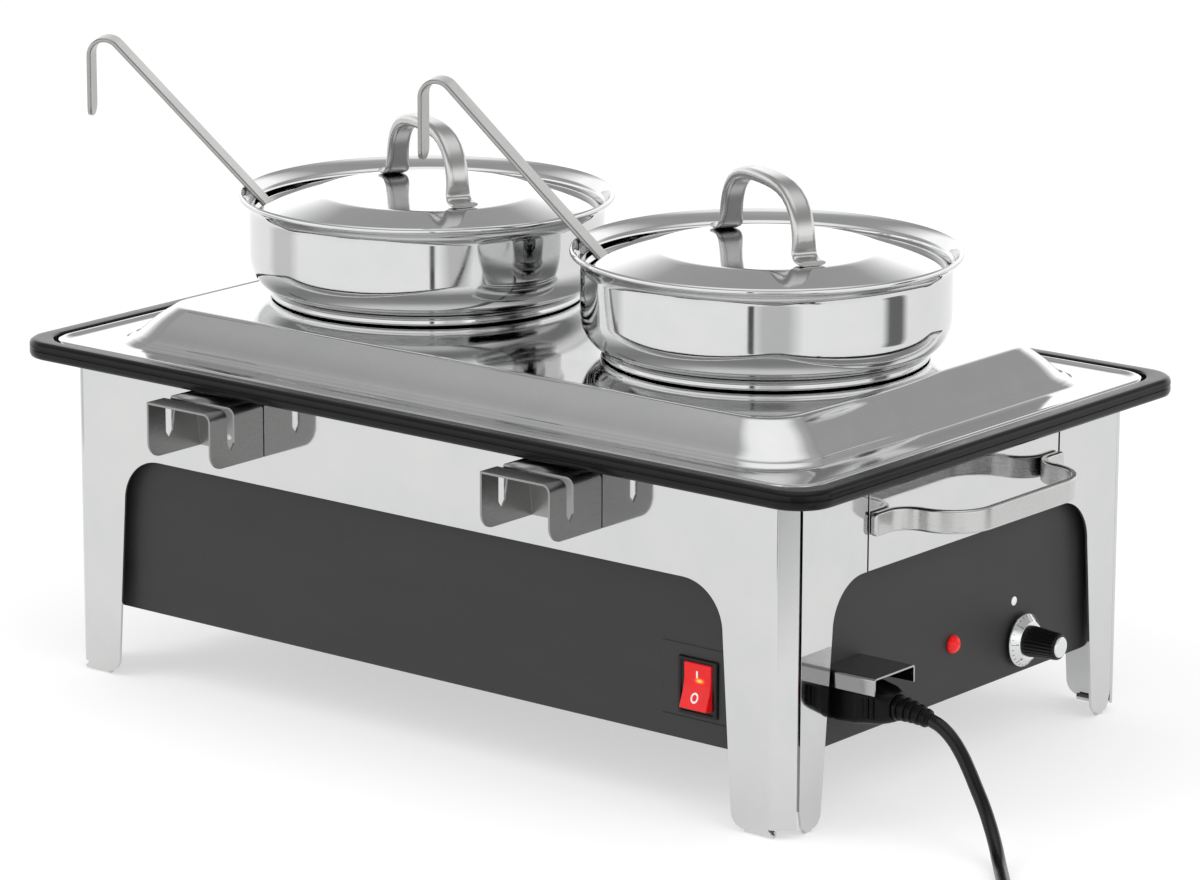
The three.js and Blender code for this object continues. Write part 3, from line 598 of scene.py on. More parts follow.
LEAD_ROUTE = [
    (303.6, -99, 62.4), (309.1, -99.4, 60.7), (316.4, -100.2, 56.4), (323.2, -101, 49.7),
    (329.2, -102.2, 42.1), (335.6, -104.2, 33.8), (341.8, -106, 25.2), (348.2, -109.4, 17.2),
    (354.9, -114.6, 10.6), (361.6, -121.4, 6.2), (368.6, -129.4, 4.1), (376.4, -138.9, 3.7),
    (385.2, -149.9, 3.7), (394.4, -161.3, 3.7), (403.6, -172.7, 3.7), (412.8, -184.1, 3.7),
    (423, -196.8, 3.7), (434.2, -210.7, 3.7), (444.3, -224.2, 3.7),
]
COIL_CENTRE = (486.4, -211.6)
COIL_SEATS = [(42.1, 3.8), (34.9, 3.8), (34.9, 11.2), (42.1, 11.2), (35.2, 18.5), (42.1, 18.9)]
COIL_START, COIL_TURN, SEAT_TURN, SEAT_SHIFT = -141.2, 1890, 320, 110


def coil_route():
    """The turns of the coil: each seat in its section is held for most of a turn,
    and then the lead shifts gently to the next one."""
    points = []
    first = (COIL_TURN - 4 * SEAT_TURN) / 2
    for step in range(4, COIL_TURN + 1, 14):
        radius, z = COIL_SEATS[0]
        for number, (seat, following) in enumerate(zip(COIL_SEATS, COIL_SEATS[1:])):
            share = smooth((step - first - SEAT_TURN * number) / SEAT_SHIFT + 0.5)
            radius += (following[0] - seat[0]) * share
            z += (following[1] - seat[1]) * share
        radius -= 3.6 * smooth((step - COIL_TURN + 120) / 120)
        angle = math.radians(COIL_START + step)
        points.append((
            COIL_CENTRE[0] + radius * math.cos(angle), COIL_CENTRE[1] + radius * math.sin(angle), z,
        ))
    ahead = math.radians(COIL_START + COIL_TURN + 90)
    x, y, z = points[-1]
    for run in (11, 22, 33):
        points.append((x + run * math.cos(ahead), y + run * math.sin(ahead), z))
    return points


def in_frame(point):
    return (point[0] * MM, (point[1] + CENTRE_SHIFT) * MM, point[2] * MM)


def make_lead():
    """The lead as one smooth curve. Returns it and the length of its route."""
    route = [in_frame(point) for point in LEAD_ROUTE + coil_route()]
    curve = bpy.data.curves.new("lead", "CURVE")
    curve.dimensions = "3D"
    curve.bevel_depth = CORD / 2 * MM
    curve.bevel_resolution = 6
    curve.resolution_u = 5
    curve.use_fill_caps = True
    curve.materials.append(FINISHES["cord_rubber"])
    spline = curve.splines.new("BEZIER")
    spline.bezier_points.add(len(route) - 1)
    for knot, place in zip(spline.bezier_points, route):
        knot.co = place
        knot.handle_left_type = knot.handle_right_type = "AUTO"
    lead = in_scene("lead", curve)
    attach(lead, "lead")
    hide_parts("mains_lead", "lead_coil")
    return lead, sum((Vector(b) - Vector(a)).length for a, b in zip(route, route[1:]))


def on_lead(name, bm, finish, stands_for, **shaping):
    """A piece on the mains lead."""
    return piece(name, bm, "lead", "cord_rubber", stands_for, finish=finish, **shaping)


def make_connector():
    """The coupler that pushes into the inlet, with its finger ribs."""
    body = loft([
        (11.4, 7.9, 3.5, -16), (11.6, 8.1, 4, -15.4), (11.6, 8.1, 4, 3.3), (13.4, 9.8, 4.2, 3.8),
        (13.8, 10.2, 4.2, 4.6), (13.8, 10.2, 4.2, 16.5), (13.2, 9.9, 4.6, 18.5),
        (12.9, 9.7, 4.6, 19.4), (12.9, 9.7, 4.6, 20.6), (12.6, 9.6, 4.8, 21.4), (12.0, 9.3, 5.0, 25),
        (10.9, 8.9, 5.4, 30), (9.4, 8.2, 6.2, 33.6), (8.2, 7.6, 6.9, 35.6), (7.6, 7.2, 6.9, 36),
    ], cap_low=True, cap_high=True, steps=6)
    for x in (-11.2, 11.2):
        for z in (22.5, 25.5, 28.5):
            body = joined(body, block(x - 1.6, x + 1.6, -5.5, 5.5, z - 0.6, z + 0.6))
    laid_over(body, "X")
    laid_over(body, "Z", HOUSING_X, INLET_Y, INLET_Z)
    return on_lead("coupler", body, "plug_rubber", ["mains_connector"], edge=0.5)


def make_strain_relief():
    """Five flexible rings on a narrowing stem that droops under the lead's weight."""
    long, steps, rings = 21.0, 52, 5.0
    path, sizes = [], []
    x, z = HOUSING_X + 36.1, INLET_Z
    for step in range(steps + 1):
        share = step / steps
        droop = math.radians(17) * share
        wave = (share * rings) % 1.0
        radius = (7.0 - 2.3 * share) * (1.0 if 0.06 < wave < 0.66 else 0.80)
        path.append((x, INLET_Y, z))
        sizes.append((radius, radius))
        x += long / steps * math.cos(droop)
        z -= long / steps * math.sin(droop)
    stem = drawn_along(round_section(1.0, 36), path, (0, 1, 0), sizes)
    return on_lead("relief", stem, "plug_rubber", ["strain_relief"], edge=0.18, steps=2)


def make_plug():
    """A round earthed plug with two pins, lying beside the coil."""
    body = turned([
        (0, 0), (4.6, 0), (5.2, 0.6), (5.4, 5), (6.6, 8), (6.0, 9), (6.9, 12), (6.2, 13), (7.4, 16.5),
        (7.2, 18), (9.6, 20.4), (12, 22.4), (13.6, 27), (15.4, 33), (17.2, 40), (18.3, 46),
        (18.5, 56), (17.6, 57.4), (16.6, 57.8), (0, 57.8),
    ], 64, [(10, 16, 1.2)])
    pins, sleeves = [], []
    for y in (-9.5, 9.5):
        pins.append(turned([(0, 56), (2.4, 56), (2.4, 74.6), (1.9, 75.7), (0, 76)], 24))
        sleeves.append(turned([(0, 57), (2.5, 57), (2.5, 66), (2.4, 66.2), (0, 66.2)], 24))
        move(pins[-1], y=y)
        move(sleeves[-1], y=y)
    made = []
    for name, bm, finish, stands_for in (
        ("plug", joined(body, *sleeves), "plug_rubber", ["mains_plug"]),
        ("plug_pins", joined(*pins), "brass", []),
    ):
        laid_over(bm, "Y", 33, -38.5, 18.9)
        turn_over(bm, math.radians(38.8))
        move(bm, *COIL_CENTRE)
        made.append(on_lead(name, bm, finish, stands_for, edge=0.25))
    return made


def make_tie():
    """The strap that holds the coil."""
    strap = loft([
        (8.8, 12.0, 2.4, -4), (9.1, 12.3, 2.4, -3.6), (9.1, 12.3, 2.4, 3.6), (8.8, 12.0, 2.4, 4),
        (8.1, 11.4, 1.8, 4), (8.1, 11.4, 1.8, -4),
    ], closed=True, steps=5)
    strap = joined(strap, block(-4.5, 4.5, 11.8, 13.2, -3.2, 3.2))
    laid_over(strap, "X", 38.5, 0, 12.0)
    turn_over(strap, math.radians(60))
    move(strap, *COIL_CENTRE)
    return piece("tie", strap, "lead", "tie_plastic", ["coil_tie"], edge=0.25)


lead, lead_length = make_lead()
coupler = make_connector()
relief = make_strain_relief()
plug, plug_pins = make_plug()
tie = make_tie()


# ---------------------------------------------------------------- sheet frame

def rolled_foot(bm, edges, inward, lip=2.1):
    """Curls the bottom edge of a leg inwards and up. inward is the direction across the sheet."""
    centre = sum((v.co for e in edges for v in e.verts), Vector()) / (2 * len(edges))
    centre += Vector(inward) * lip
    turn = Matrix.Rotation(math.radians(36), 3, Vector(inward).cross(Vector((0, 0, 1))))
    for _ in range(7):
        verts, edges = pulled(bm, edges)
        bmesh.ops.rotate(bm, verts=verts, cent=centre, matrix=turn)


def skirt_sheet():
    """A long skirt: its face with the arch cut out, and the folded strip at each corner."""
    outer, arch, toe, strip_end = SKIRT_X - FOLD, 211, 217.8, 5
    bm = plate_of([
        (outer, SKIRT_TOP), (-outer, SKIRT_TOP), (-outer, strip_end), (-outer, TOE), (-toe, TOE),
        (-arch, ARCH_TOP - ARCH_RADIUS), (-arch, ARCH_TOP), (arch, ARCH_TOP),
        (arch, ARCH_TOP - ARCH_RADIUS), (toe, TOE), (outer, TOE), (outer, strip_end),
    ], [((4, 9), 8), ((6, 7), ARCH_RADIUS)])
    move(bm, y=-SKIRT_Y)
    for sign in (-1, 1):
        side = edges_where(bm, lambda at: near(at.x, sign * outer))
        verts, _ = pulled(bm, [edge for edge in side if edge.calc_length() > 100])
        move(bm, sign * FOLD, FOLD, verts=verts)
    round_off(bm, edges_where(bm, lambda at: near(abs(at.x), outer), 2), 2.6, 6, "EDGES")
    for sign in (-1, 1):
        toes = edges_where(bm, lambda at: near(at.z, TOE) and at.x * sign > 200)
        rolled_foot(bm, toes, (0, 1, 0))
    return bm


def side_leg_sheet():
    """The inner half of a leg, from the corner gap to the panel seam, on the right at the back."""
    corner, seam, arch = SKIRT_Y - FOLD - 2.5, SEAM_Y + SEAM_GAP, 117
    toe, flange_end = 125.6, 14
    bm = plate_of([
        (corner, flange_end), (corner, SKIRT_TOP), (seam, SKIRT_TOP), (seam, ARCH_TOP),
        (arch, ARCH_TOP), (arch, ARCH_TOP - ARCH_RADIUS), (toe, TOE), (corner - 2.5, TOE),
    ], [((4,), ARCH_RADIUS), ((6,), 7), ((7,), 4)])
    laid_over(bm, "Z", SKIRT_X)
    rolled_foot(bm, edges_where(bm, lambda at: near(at.z, TOE)), (-1, 0, 0))
    for line, low in ((seam, ARCH_TOP), (corner, flange_end)):
        verts, _ = pulled(bm, edges_where(bm, lambda at: near(at.y, line) and at.z > low - 1))
        move(bm, x=-FLANGE, verts=verts)
    return bm


def side_panel_sheet():
    seam = SEAM_Y - SEAM_GAP
    bm = plate_of([(-seam, ARCH_TOP), (seam, ARCH_TOP), (seam, SKIRT_TOP), (-seam, SKIRT_TOP)])
    laid_over(bm, "Z", SKIRT_X)
    upright = [edge for edge in bm.edges if near(edge.verts[0].co.y, edge.verts[1].co.y)]
    verts, _ = pulled(bm, upright)
    move(bm, x=-FLANGE, verts=verts)
    return bm


def make_sheets():
    for name, bm, outside in (
        ("front_skirt", skirt_sheet(), (0, -1, 0)),
        ("back_skirt", half_turned(skirt_sheet()), (0, 1, 0)),
        ("right_back_leg", side_leg_sheet(), (1, 0, 0)),
        ("right_front_leg", mirrored(side_leg_sheet(), "y"), (1, 0, 0)),
        ("left_back_leg", mirrored(side_leg_sheet(), "x"), (-1, 0, 0)),
        ("left_front_leg", half_turned(side_leg_sheet()), (-1, 0, 0)),
        ("right_panel", side_panel_sheet(), (1, 0, 0)),
        ("left_panel", half_turned(side_panel_sheet()), (-1, 0, 0)),
    ):
        piece(
            name + "_sheet", facing_out(bm, outside), "frame", "polished_skirt", [name],
            wall=SHEET, edge=0.25, steps=2, outwards=True,
        )


def make_side_handles():
    """Flat bars that leave the panel seams and sweep out to a straight grip."""
    wall, grip = SKIRT_X + 2.3, 292.5
    half = [(wall, SEAM_Y - start) for start in (0.4, 0.8, 1.5, 2.6, 4.2, 8)]
    half += bow(wall + 14, SEAM_Y - 13, 14, 180, 262, 24)
    half += bow(grip - 25, SEAM_Y - 52, 25, 82, 0, 32)
    path = [(x, y, HANDLE_Z) for x, y in half + [(x, -y) for x, y in reversed(half)]]
    ends = [(0.66, 0.5), (0.82, 0.75), (0.94, 0.92), (1, 1)]
    sizes = ends + [(1, 1)] * (len(path) - 2 * len(ends)) + ends[::-1]
    for side in ("right", "left"):
        bar = drawn_along(bar_section(12.5, 4.0, 1.4, 6), path, (0, 0, 1), sizes)
        for y in (-STUD_Y, STUD_Y):
            bolt = turned([
                (0, 0), (5.2, 0), (5.2, 1.2), (3.4, 1.8), (2.4, 1.8), (2.4, 8.4), (0, 8.4),
            ], 32)
            bar = joined(bar, laid_over(bolt, "Y", SKIRT_X - 7.2, y, HANDLE_Z))
        if side == "left":
            half_turned(bar)
        piece(side + "_bar", bar, "frame", "handle_steel", [side + "_handle"], edge=0.3, steps=2)
        for letter in "ab":
            eased(f"{side}_handle_nut_{letter}", "frame", "fastener_steel", 0.4)


def make_rim():
    """Moulded rim: a rounded outer edge with one groove line, and a shelf for pan and plate."""
    rings = drawn_in(
        277.4, 173.75, 22, (2.2, 181), (0.7, 181.6), (0, 183.2), (0, 185.6), (0.5, 186.0),
        (0.5, 186.5), (0, 186.9), (0, 188.4), (0.5, 189.8), (1.9, 190.8),
    )
    rings += [
        (273.8, 170.15, 18.8, 191), (268, 165.35, 20.8, 191), (266.9, 164.4, 20.3, 190.6),
        (266.6, 164.1, 20, 189.8), (266.6, 164.1, 20, 186), (245, 145, 40, 186), (245, 145, 40, 181),
    ]
    piece("rim", loft(rings, closed=True, steps=16), "frame", "rim_plastic", ["rim_frame"])


def make_pan():
    """Water pan: flange, steep walls and a rounded floor corner."""
    def walls(*rows):
        """Rings down the leaning walls, from rows of (height, how far in, corner radius)."""
        rings = []
        for z, far, radius in rows:
            lean = (z - 98.8) * 7 / 87.2
            rings.append((233 + lean - far, 133 + lean - far, radius, z))
        return rings
    flange = [(263.5, 161, 19, 186.4), (263.5, 161, 19, 187.4)]
    inside = flange + walls(
        (187.4, 1.4, 38.6), (186.6, 1.4, 38.6), (150, 1.3, 38.7), (110, 1.2, 38.8), (106, 1.6, 38.4),
        (102.6, 3.4, 36.6), (100.6, 6.4, 33.6), (100.1, 9.4, 30.6),
    )
    outside = flange[:1] + walls(
        (186.3, 0.1, 39.9), (150, 0, 40), (108, 0.1, 39.9), (103, 1.8, 38.2), (100.2, 4.4, 35.6),
        (98.9, 8, 32),
    )
    pan = joined(loft(inside, cap_high=True), loft(outside, cap_high=True))
    piece("pan", pan, "frame", "pan_steel", ["water_pan"])


def make_housing():
    """Folded sheet housing with rounded corners, its service plate, its base and its feet."""
    shell = loft(drawn_in(
        HOUSING_X, HOUSING_Y, 25, (1.2, HOUSING_LOW), (0.35, HOUSING_LOW + 0.3),
        (0, HOUSING_LOW + 1.2), (0, HOUSING_TOP), (1.2, HOUSING_TOP),
    ), closed=True, steps=14)
    piece("housing", shell, "frame", "housing_paint", ["housing_shell"])
    plates = [
        block(167, 222, -HOUSING_Y - 0.45, -HOUSING_Y + 0.4, low, high)
        for low, high in ((53.4, 92), (41.4, 52.6))
    ]
    piece("service_plate", joined(*plates), "frame", "housing_paint", edge=0.25, steps=2)
    dot = turned([(0, 0), (2.5, 0), (2.5, 0.12), (2.3, 0.25), (0, 0.25)], 40)
    laid_over(dot, "Y", HOUSING_X, 57.6, 81.6)
    piece("dial_dot", dot, "frame", "dial_silver", finish="print_white")
    eased("housing_base", "frame", "housing_paint", 0.3)
    for place in ("front_left", "front_right", "back_left", "back_right"):
        low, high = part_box(place + "_foot")
        centre = (low + high) / 2 / MM
        foot = turned([
            (0, -8), (6.4, -8), (7.3, -7.5), (7.6, -6.6), (8.9, -0.5), (8.9, 0), (0, 0),
        ], 40)
        move(foot, centre.x, centre.y - CENTRE_SHIFT, high.z / MM)
        piece(place + "_pad", foot, "frame", "foot_rubber", [place + "_foot"], edge=0.3)


def make_inside():
    """Parts under the pan and behind the housing wall."""
    for node, body, slot, edge in (
        ("temperature_sensor", "frame", "element_steel", 0.5),
        ("thermal_cutout", "frame", "insulator", 0.6),
        ("terminal_block", "frame", "insulator", 0.8),
        ("thermostat_body", "frame", "control_plastic", 0.8),
        ("dial_spindle", "dial", "fastener_steel", 0.3),
    ):
        eased(node, body, slot, edge)
    path = [(200 - i * 35, -62) for i in range(11)]
    path += bow(-150, 0, 62, -90, -270, 28)[1:]
    path += [(-150 + i * 35, 62) for i in range(1, 11)]
    tube = drawn_along(round_section(4.0, 24), [(x, y, 91.8) for x, y in path], (0, 0, 1))
    piece("heater_tube", tube, "frame", "element_steel", ["heating_element"], edge=0.3)


# ---------------------------------------------------------------- lid holders

def holder_sheet(x):
    """A folded bracket: two slotted ears joined by a top strip in front of and behind the slot."""
    half, low, top = 23.4, 146.5, 178.0
    front, back, slot = -197.75, -SKIRT_Y - 0.4, -181.25
    outline = [
        (back, top), (back, low), (front, low), (front, top), (slot - 2.8, top),
        (slot - 2.8, low + 12.5), (slot, low + 8.5), (slot + 2.8, low + 12.5), (slot + 2.8, top),
    ]
    bm = bmesh.new()
    ears = []
    for sign in (-1, 1):
        ears.append([bm.verts.new((x + sign * half, y, z)) for y, z in outline])
        bm.faces.new(ears[-1])
    left, right = ears
    for a, b in ((3, 4), (8, 0), (0, 1)):
        bm.faces.new((left[a], left[b], right[b], right[a]))
    round_off(bm, [left[2], right[2]], 9, 8)
    bends = edges_where(bm, lambda at: near(at.z, top) and near(abs(at.x - x), half), 2)
    round_off(bm, bends, 5, 6, "EDGES")
    return facing_out(bm, (0, 0, 1))


def make_holders():
    for side, x in (("left", -128.5), ("right", 108.3)):
        piece(
            side + "_bracket", holder_sheet(x), "frame", "holder_steel", [side + "_lid_holder"],
            wall=1.2, edge=0.22, steps=2, outwards=True,
        )
        for letter, z in zip("ab", (156, 170)):
            head = turned([
                (0, -3), (1.9, -3), (1.9, 1.8), (3.6, 1.8), (3.5, 2.4), (2.5, 2.95), (0, 3.2),
            ], 32)
            piece(
                f"{side}_rivet_{letter}", laid_over(head, "X", x, -SKIRT_Y, z), "frame",
                "fastener_steel", [f"{side}_holder_rivet_{letter}"],
            )


# ---------------------------------------------------------------- controls

def make_switch():
    """Bevelled black frame with the lit rocker in its pocket."""
    x, z, face = 191.0, 70.5, -HOUSING_Y
    lean, tilt = math.radians(11.1), math.radians(-10)
    bezel = loft([
        (13, 15.5, 1.2, 0.2), (13, 15.5, 1.2, 1.2), (12.4, 14.9, 1.2, 2.0), (11.0, 13.9, 1.0, 2.0),
        (10.4, 13.5, 0.8, 1.1), (9.3, 13.1, 0.6, 1.0), (9.3, 13.1, 0.6, -9), (10.5, 13.6, 0.6, -9),
        (10.5, 13.6, 0.6, 0.2),
    ], closed=True, steps=4)
    laid_over(bezel, "X", x, face, z)
    piece("switch_bezel", bezel, "frame", "control_plastic", ["switch_frame"], edge=0.2, steps=2)
    rocker = plate_of([
        (-4.5, -12.2), (-4.5, -11.2), (-2.3, 0), (-4.5, 11.2), (-4.5, 12.2), (1, 12.2), (6.5, 5),
        (6.5, -5), (1, -12.2),
    ], [((2,), 5)])
    turn_over(rocker, QUARTER)
    made = bmesh.ops.extrude_face_region(rocker, geom=rocker.faces[:])
    move(rocker, 17.6, verts=only(made, bmesh.types.BMVert))
    move(rocker, -8.8)
    bar = block(-0.5, 0.5, -3.96, -3.3, 4.5, 8.3)
    turn_over(bar, lean, "X", (0, -3.557, 6.4))
    ring = laid_over(turned([(1.75, 0), (2.75, 0), (2.75, 0.4), (1.75, 0.4), (1.75, 0)], 40), "X")
    stretch(ring, 0.86, 1, 1.05)
    turn_over(ring, -lean, "X")
    move(ring, y=-3.38, z=-6.0)
    for name, bm, finish, stands_for, edge in (
        ("rocker", rocker, "rocker_lens", ["switch_rocker"], 0.6),
        ("rocker_marks", joined(bar, ring), "print_white", [], 0.1),
    ):
        turn_over(bm, tilt, "X")
        move(bm, x, face + 0.5, z)
        piece(name, bm, "rocker", "red_lens", stands_for, finish=finish, edge=edge)


def dial_ticks(first_turn, steep):
    """Graduation lines on the dial's cone, with every fourth one longer."""
    ticks = []
    for i in range(25):
        long = 2.4 if i % 4 == 0 else 1.3
        tick = block(14.1 - long, 14.1, -0.12, 0.12, -0.06, 0.06)
        turn_over(tick, steep, "Y", (14.1, 0, 0))
        move(tick, z=4.12)
        turn_over(tick, math.radians(first_turn + 12.5 * i))
        ticks.append(tick)
    return joined(*ticks)


def dial_numbers(first_turn, steep):
    """The numbers 0 to 6 on the dial's cone."""
    numbers = []
    for i, digit in enumerate("0123456"):
        text = bpy.data.curves.new("digit", "FONT")
        text.body = digit
        text.size = 2.5
        text.align_x = "CENTER"
        text.align_y = "CENTER"
        text.extrude = 0.04
        holder = in_scene("digit", text)
        bm = bmesh.new()
        bm.from_mesh(holder.to_mesh())
        holder.to_mesh_clear()
        bpy.data.objects.remove(holder)
        turn_over(bm, -QUARTER)
        turn_over(bm, steep, "Y")
        move(bm, 11.5, 0, 6.5)
        turn_over(bm, math.radians(first_turn + 50 * i))
        numbers.append(bm)
    return joined(*numbers)


def dial_grip():
    """The black grip: a ribbed round that narrows towards its top."""
    wide = 8.6
    grip = round_section(wide, 72)
    for i, vert in enumerate(grip.verts):
        if i % 3 == 0:
            vert.co *= 0.955
    edges = grip.edges[:]
    for z, factor in ((0.8, 1.0), (17.4, 0.85), (18.4, 0.80), (18.7, 0.74)):
        verts, edges = pulled(grip, edges)
        size = wide * factor / max(v.co.to_2d().length for v in verts)
        stretch(grip, size, size, 1, verts)
        move(grip, z=z - verts[0].co.z, verts=verts)
    bmesh.ops.contextual_create(grip, geom=edges)
    move(grip, z=7.5)
    return grip


def make_dial():
    """Graduated silver skirt, ribbed black grip and a spun cap."""
    first_turn, steep = 120, math.radians(41.6)
    skirt = turned([
        (0, 2.5), (14.2, 2.5), (14.7, 2.8), (14.7, 3.5), (14.2, 4.0), (10.6, 7.2), (10.2, 7.4),
        (0, 7.4), (0, 2.5),
    ], 96)
    cap = turned([
        (0, 26.0), (5.7, 26.0), (5.8, 26.4), (5.5, 26.9), (5.0, 27.1), (0, 27.2), (0, 26.0),
    ], 64)
    ticks, numbers = dial_ticks(first_turn, steep), dial_numbers(first_turn, steep)
    for name, bm, slot, finish, stands_for, edge in (
        ("dial_plate", skirt, "dial_silver", None, ["dial_skirt"], 0),
        ("dial_ticks", ticks, "control_plastic", "mark_black", [], 0),
        ("dial_knob", dial_grip(), "control_plastic", "grip_plastic", ["dial_grip"], 0.25),
        ("dial_button", cap, "dial_silver", None, ["dial_cap"], 0),
        ("dial_numbers", numbers, "control_plastic", "mark_black", [], 0),
    ):
        laid_over(bm, "Y", HOUSING_X, 64, 59)
        piece(name, bm, "dial", slot, stands_for, finish=finish, edge=edge)


def make_lamp():
    lens = turned([
        (0, -14), (3.3, -14), (3.3, 0.3), (5.0, 0.3), (5.0, 0.9), (4.75, 1.7), (4.2, 2.6), (3.3, 3.4),
        (2.2, 3.95), (1.1, 4.2), (0, 4.3),
    ], 48)
    laid_over(lens, "Y", HOUSING_X, 0, 70.4)
    piece("lamp", lens, "frame", "red_lens", ["indicator_lamp"], finish="lamp_lens", edge=0.15)


def make_inlet():
    """The socket, and the folded cover over the coupler with a tab against the housing."""
    eased("inlet_socket", "frame", "control_plastic", 0.4)
    half, low, top = 17.7, 74.7, 84.0
    bm = bmesh.new()
    verts = [
        bm.verts.new((HOUSING_X + 0.3, INLET_Y + y, z))
        for y, z in ((-half, low), (-half, top), (half, top), (half, low))
    ]
    for pair in zip(verts, verts[1:]):
        bm.edges.new(pair)
    round_off(bm, verts[1:3], 1.8, 5)
    verts, _ = pulled(bm, bm.edges[:])
    move(bm, 33.5, verts=verts)
    tab = edges_where(bm, lambda at: at.z > top - 0.01 and at.x < HOUSING_X + 1)
    verts, _ = pulled(bm, tab)
    move(bm, z=-5.2, verts=verts)
    piece(
        "drip_cover", facing_out(bm, (0, 0, 1)), "frame", "holder_steel", ["inlet_cover"],
        finish="cover_steel", wall=1.1, edge=0.2, steps=2, outwards=True,
    )


# ---------------------------------------------------------------- plate, pots, lids, ladles

def make_plate():
    """Pressed cover: hemmed flange, raised step, domed sides and two collared pot holes."""
    rings = drawn_in(265.0, 162.5, 20, (1.6, 187.9), (0.4, 188.2), (0, 189.2), (0.4, 190.2))
    rings += [
        (263.2, 160.7, 18.6, 190.7), (261.4, 158.9, 17.6, 190.2), (260.2, 157.7, 17.2, 189.3),
        (257.6, 155.1, 17, 189.0), (246.0, 145.4, 22, 189.0), (242.4, 142.2, 30, 189.1),
        (240.8, 140.8, 32, 189.5), (239.9, 139.9, 33, 190.4), (239.2, 139.2, 33.4, 191.3),
        (238.2, 138.2, 33.4, 191.9), (236.8, 136.9, 33.2, 192.3),
    ]
    for share in (0.06, 0.2, 0.35, 0.5, 0.65, 0.8, 0.92, 1.0):
        rise = share + 0.07 * math.sin(share * math.pi)
        rings.append((
            236.2 - 17.6 * share, 136.2 - 15.6 * share, 33 - 9.5 * share, 192.6 + 14.9 * rise,
        ))
    rings += [
        (217.9, 119.9, 23.2, 208.1), (217.0, 119.0, 22.7, 208.7), (215.8, 117.8, 22, 209.2),
        (214.4, 116.4, 21.4, 209.42), (212.8, 114.8, 20.8, PLATE_TOP),
    ]
    bm = loft(rings, steps=18)
    outline = [e for e in bm.edges if all(abs(v.co.z - PLATE_TOP) < 0.001 for v in e.verts)]
    holes = []
    for x in (-POT_X, POT_X):
        made = bmesh.ops.create_circle(bm, cap_ends=False, radius=HOLE_RADIUS, segments=96)
        move(bm, x, 0, PLATE_TOP, made["verts"])
        holes.append((x, list({e for v in made["verts"] for e in v.link_edges})))
    bmesh.ops.triangle_fill(
        bm, use_beauty=True, use_dissolve=False, edges=outline + holes[0][1] + holes[1][1],
    )
    for x, edges in holes:
        previous = HOLE_RADIUS
        for radius, z in ((88.6, 209.35), (88.0, 208.9), (87.5, 208.1), (87.3, 206.8), (87.3, 203.5)):
            verts, edges = pulled(bm, edges)
            move(bm, -x, 0, z - verts[0].co.z, verts)
            stretch(bm, radius / previous, radius / previous, 1, verts)
            move(bm, x, verts=verts)
            previous = radius
    piece(
        "plate", facing_out(bm, (0, 0, 1)), "plate", "mirror_plate", ["top_plate"], wall=1.0,
        outwards=True,
    )


POT_PROFILE = [
    (0, 122.8), (70, 122.8), (78, 123.6), (83.5, 127.5), (85.8, 133.5), (86, 140), (86, 206.5),
    (86.2, 209.0), (87.4, 209.9), (88.7, 210.6), (89.0, 211.8), (88.6, 213.0), (88.7, 214.0),
    (89.8, 215.2), (92.6, 217.2), (95.4, 219.6), (97.6, 222.8), (99.2, 226.6), (100.1, 231),
    (100.3, 235), (100.3, 257.5), (100.6, 260.4), (101.6, 262.4), (103.0, 263.9), (104.2, 264.8),
    (104.7, 265.1), (105.3, 265.3), (105.9, 266.1), (106, 267.2), (105.6, 268.2), (104.8, 268.6),
    (103.9, 268.2), (102.9, 266.7), (101.7, 264.6), (101.0, 263.0), (100.5, 262.2), (99.7, 261.8),
    (99.2, 261.1), (99.0, 260.0), (99.0, 257.6), (98.4, 256.8), (96.8, 256.4), (96.4, 255.8),
    (96.8, 255.1), (98.6, 254.4), (99.1, 253), (99.1, 235),
    (98.8, 231), (98.0, 227.2), (96.5, 223.7), (94.5, 220.7), (91.9, 218.4), (89.1, 216.5),
    (87.8, 215.2), (87.3, 213.2), (87.1, 211.8), (85.6, 210.4), (84.9, 208.6), (84.8, 206),
    (84.8, 140), (84.6, 134), (82.4, 128.4), (77.6, 124.8), (70, 124), (0, 124),
]
LID_PROFILE = [
    (0, 268), (59, 268), (60.4, 267.9), (63, 267.2), (90, 260.2), (94, 259.1), (96, 258.2),
    (97.0, 257.2), (98.0, 257.0), (98.4, 257.6), (98.2, 258.3), (97.2, 259.0), (94.8, 260.3),
    (90.6, 261.4), (64, 268.3), (61.4, 269.0), (59.6, 269.25), (58, 269.3), (0, 269.3),
]


def lid_mesh():
    """Lid with a flat disc, a cone and one straight side that leaves room for the ladle."""
    bm = turned(LID_PROFILE, 128)
    way = Vector((math.cos(LID_CUT_TURN), math.sin(LID_CUT_TURN), 0))
    bmesh.ops.bisect_plane(
        bm, geom=bm.verts[:] + bm.edges[:] + bm.faces[:], plane_co=way * LID_CUT, plane_no=way,
        clear_outer=True,
    )
    bmesh.ops.edgenet_fill(bm, edges=[e for e in bm.edges if len(e.link_faces) == 1])
    return bm


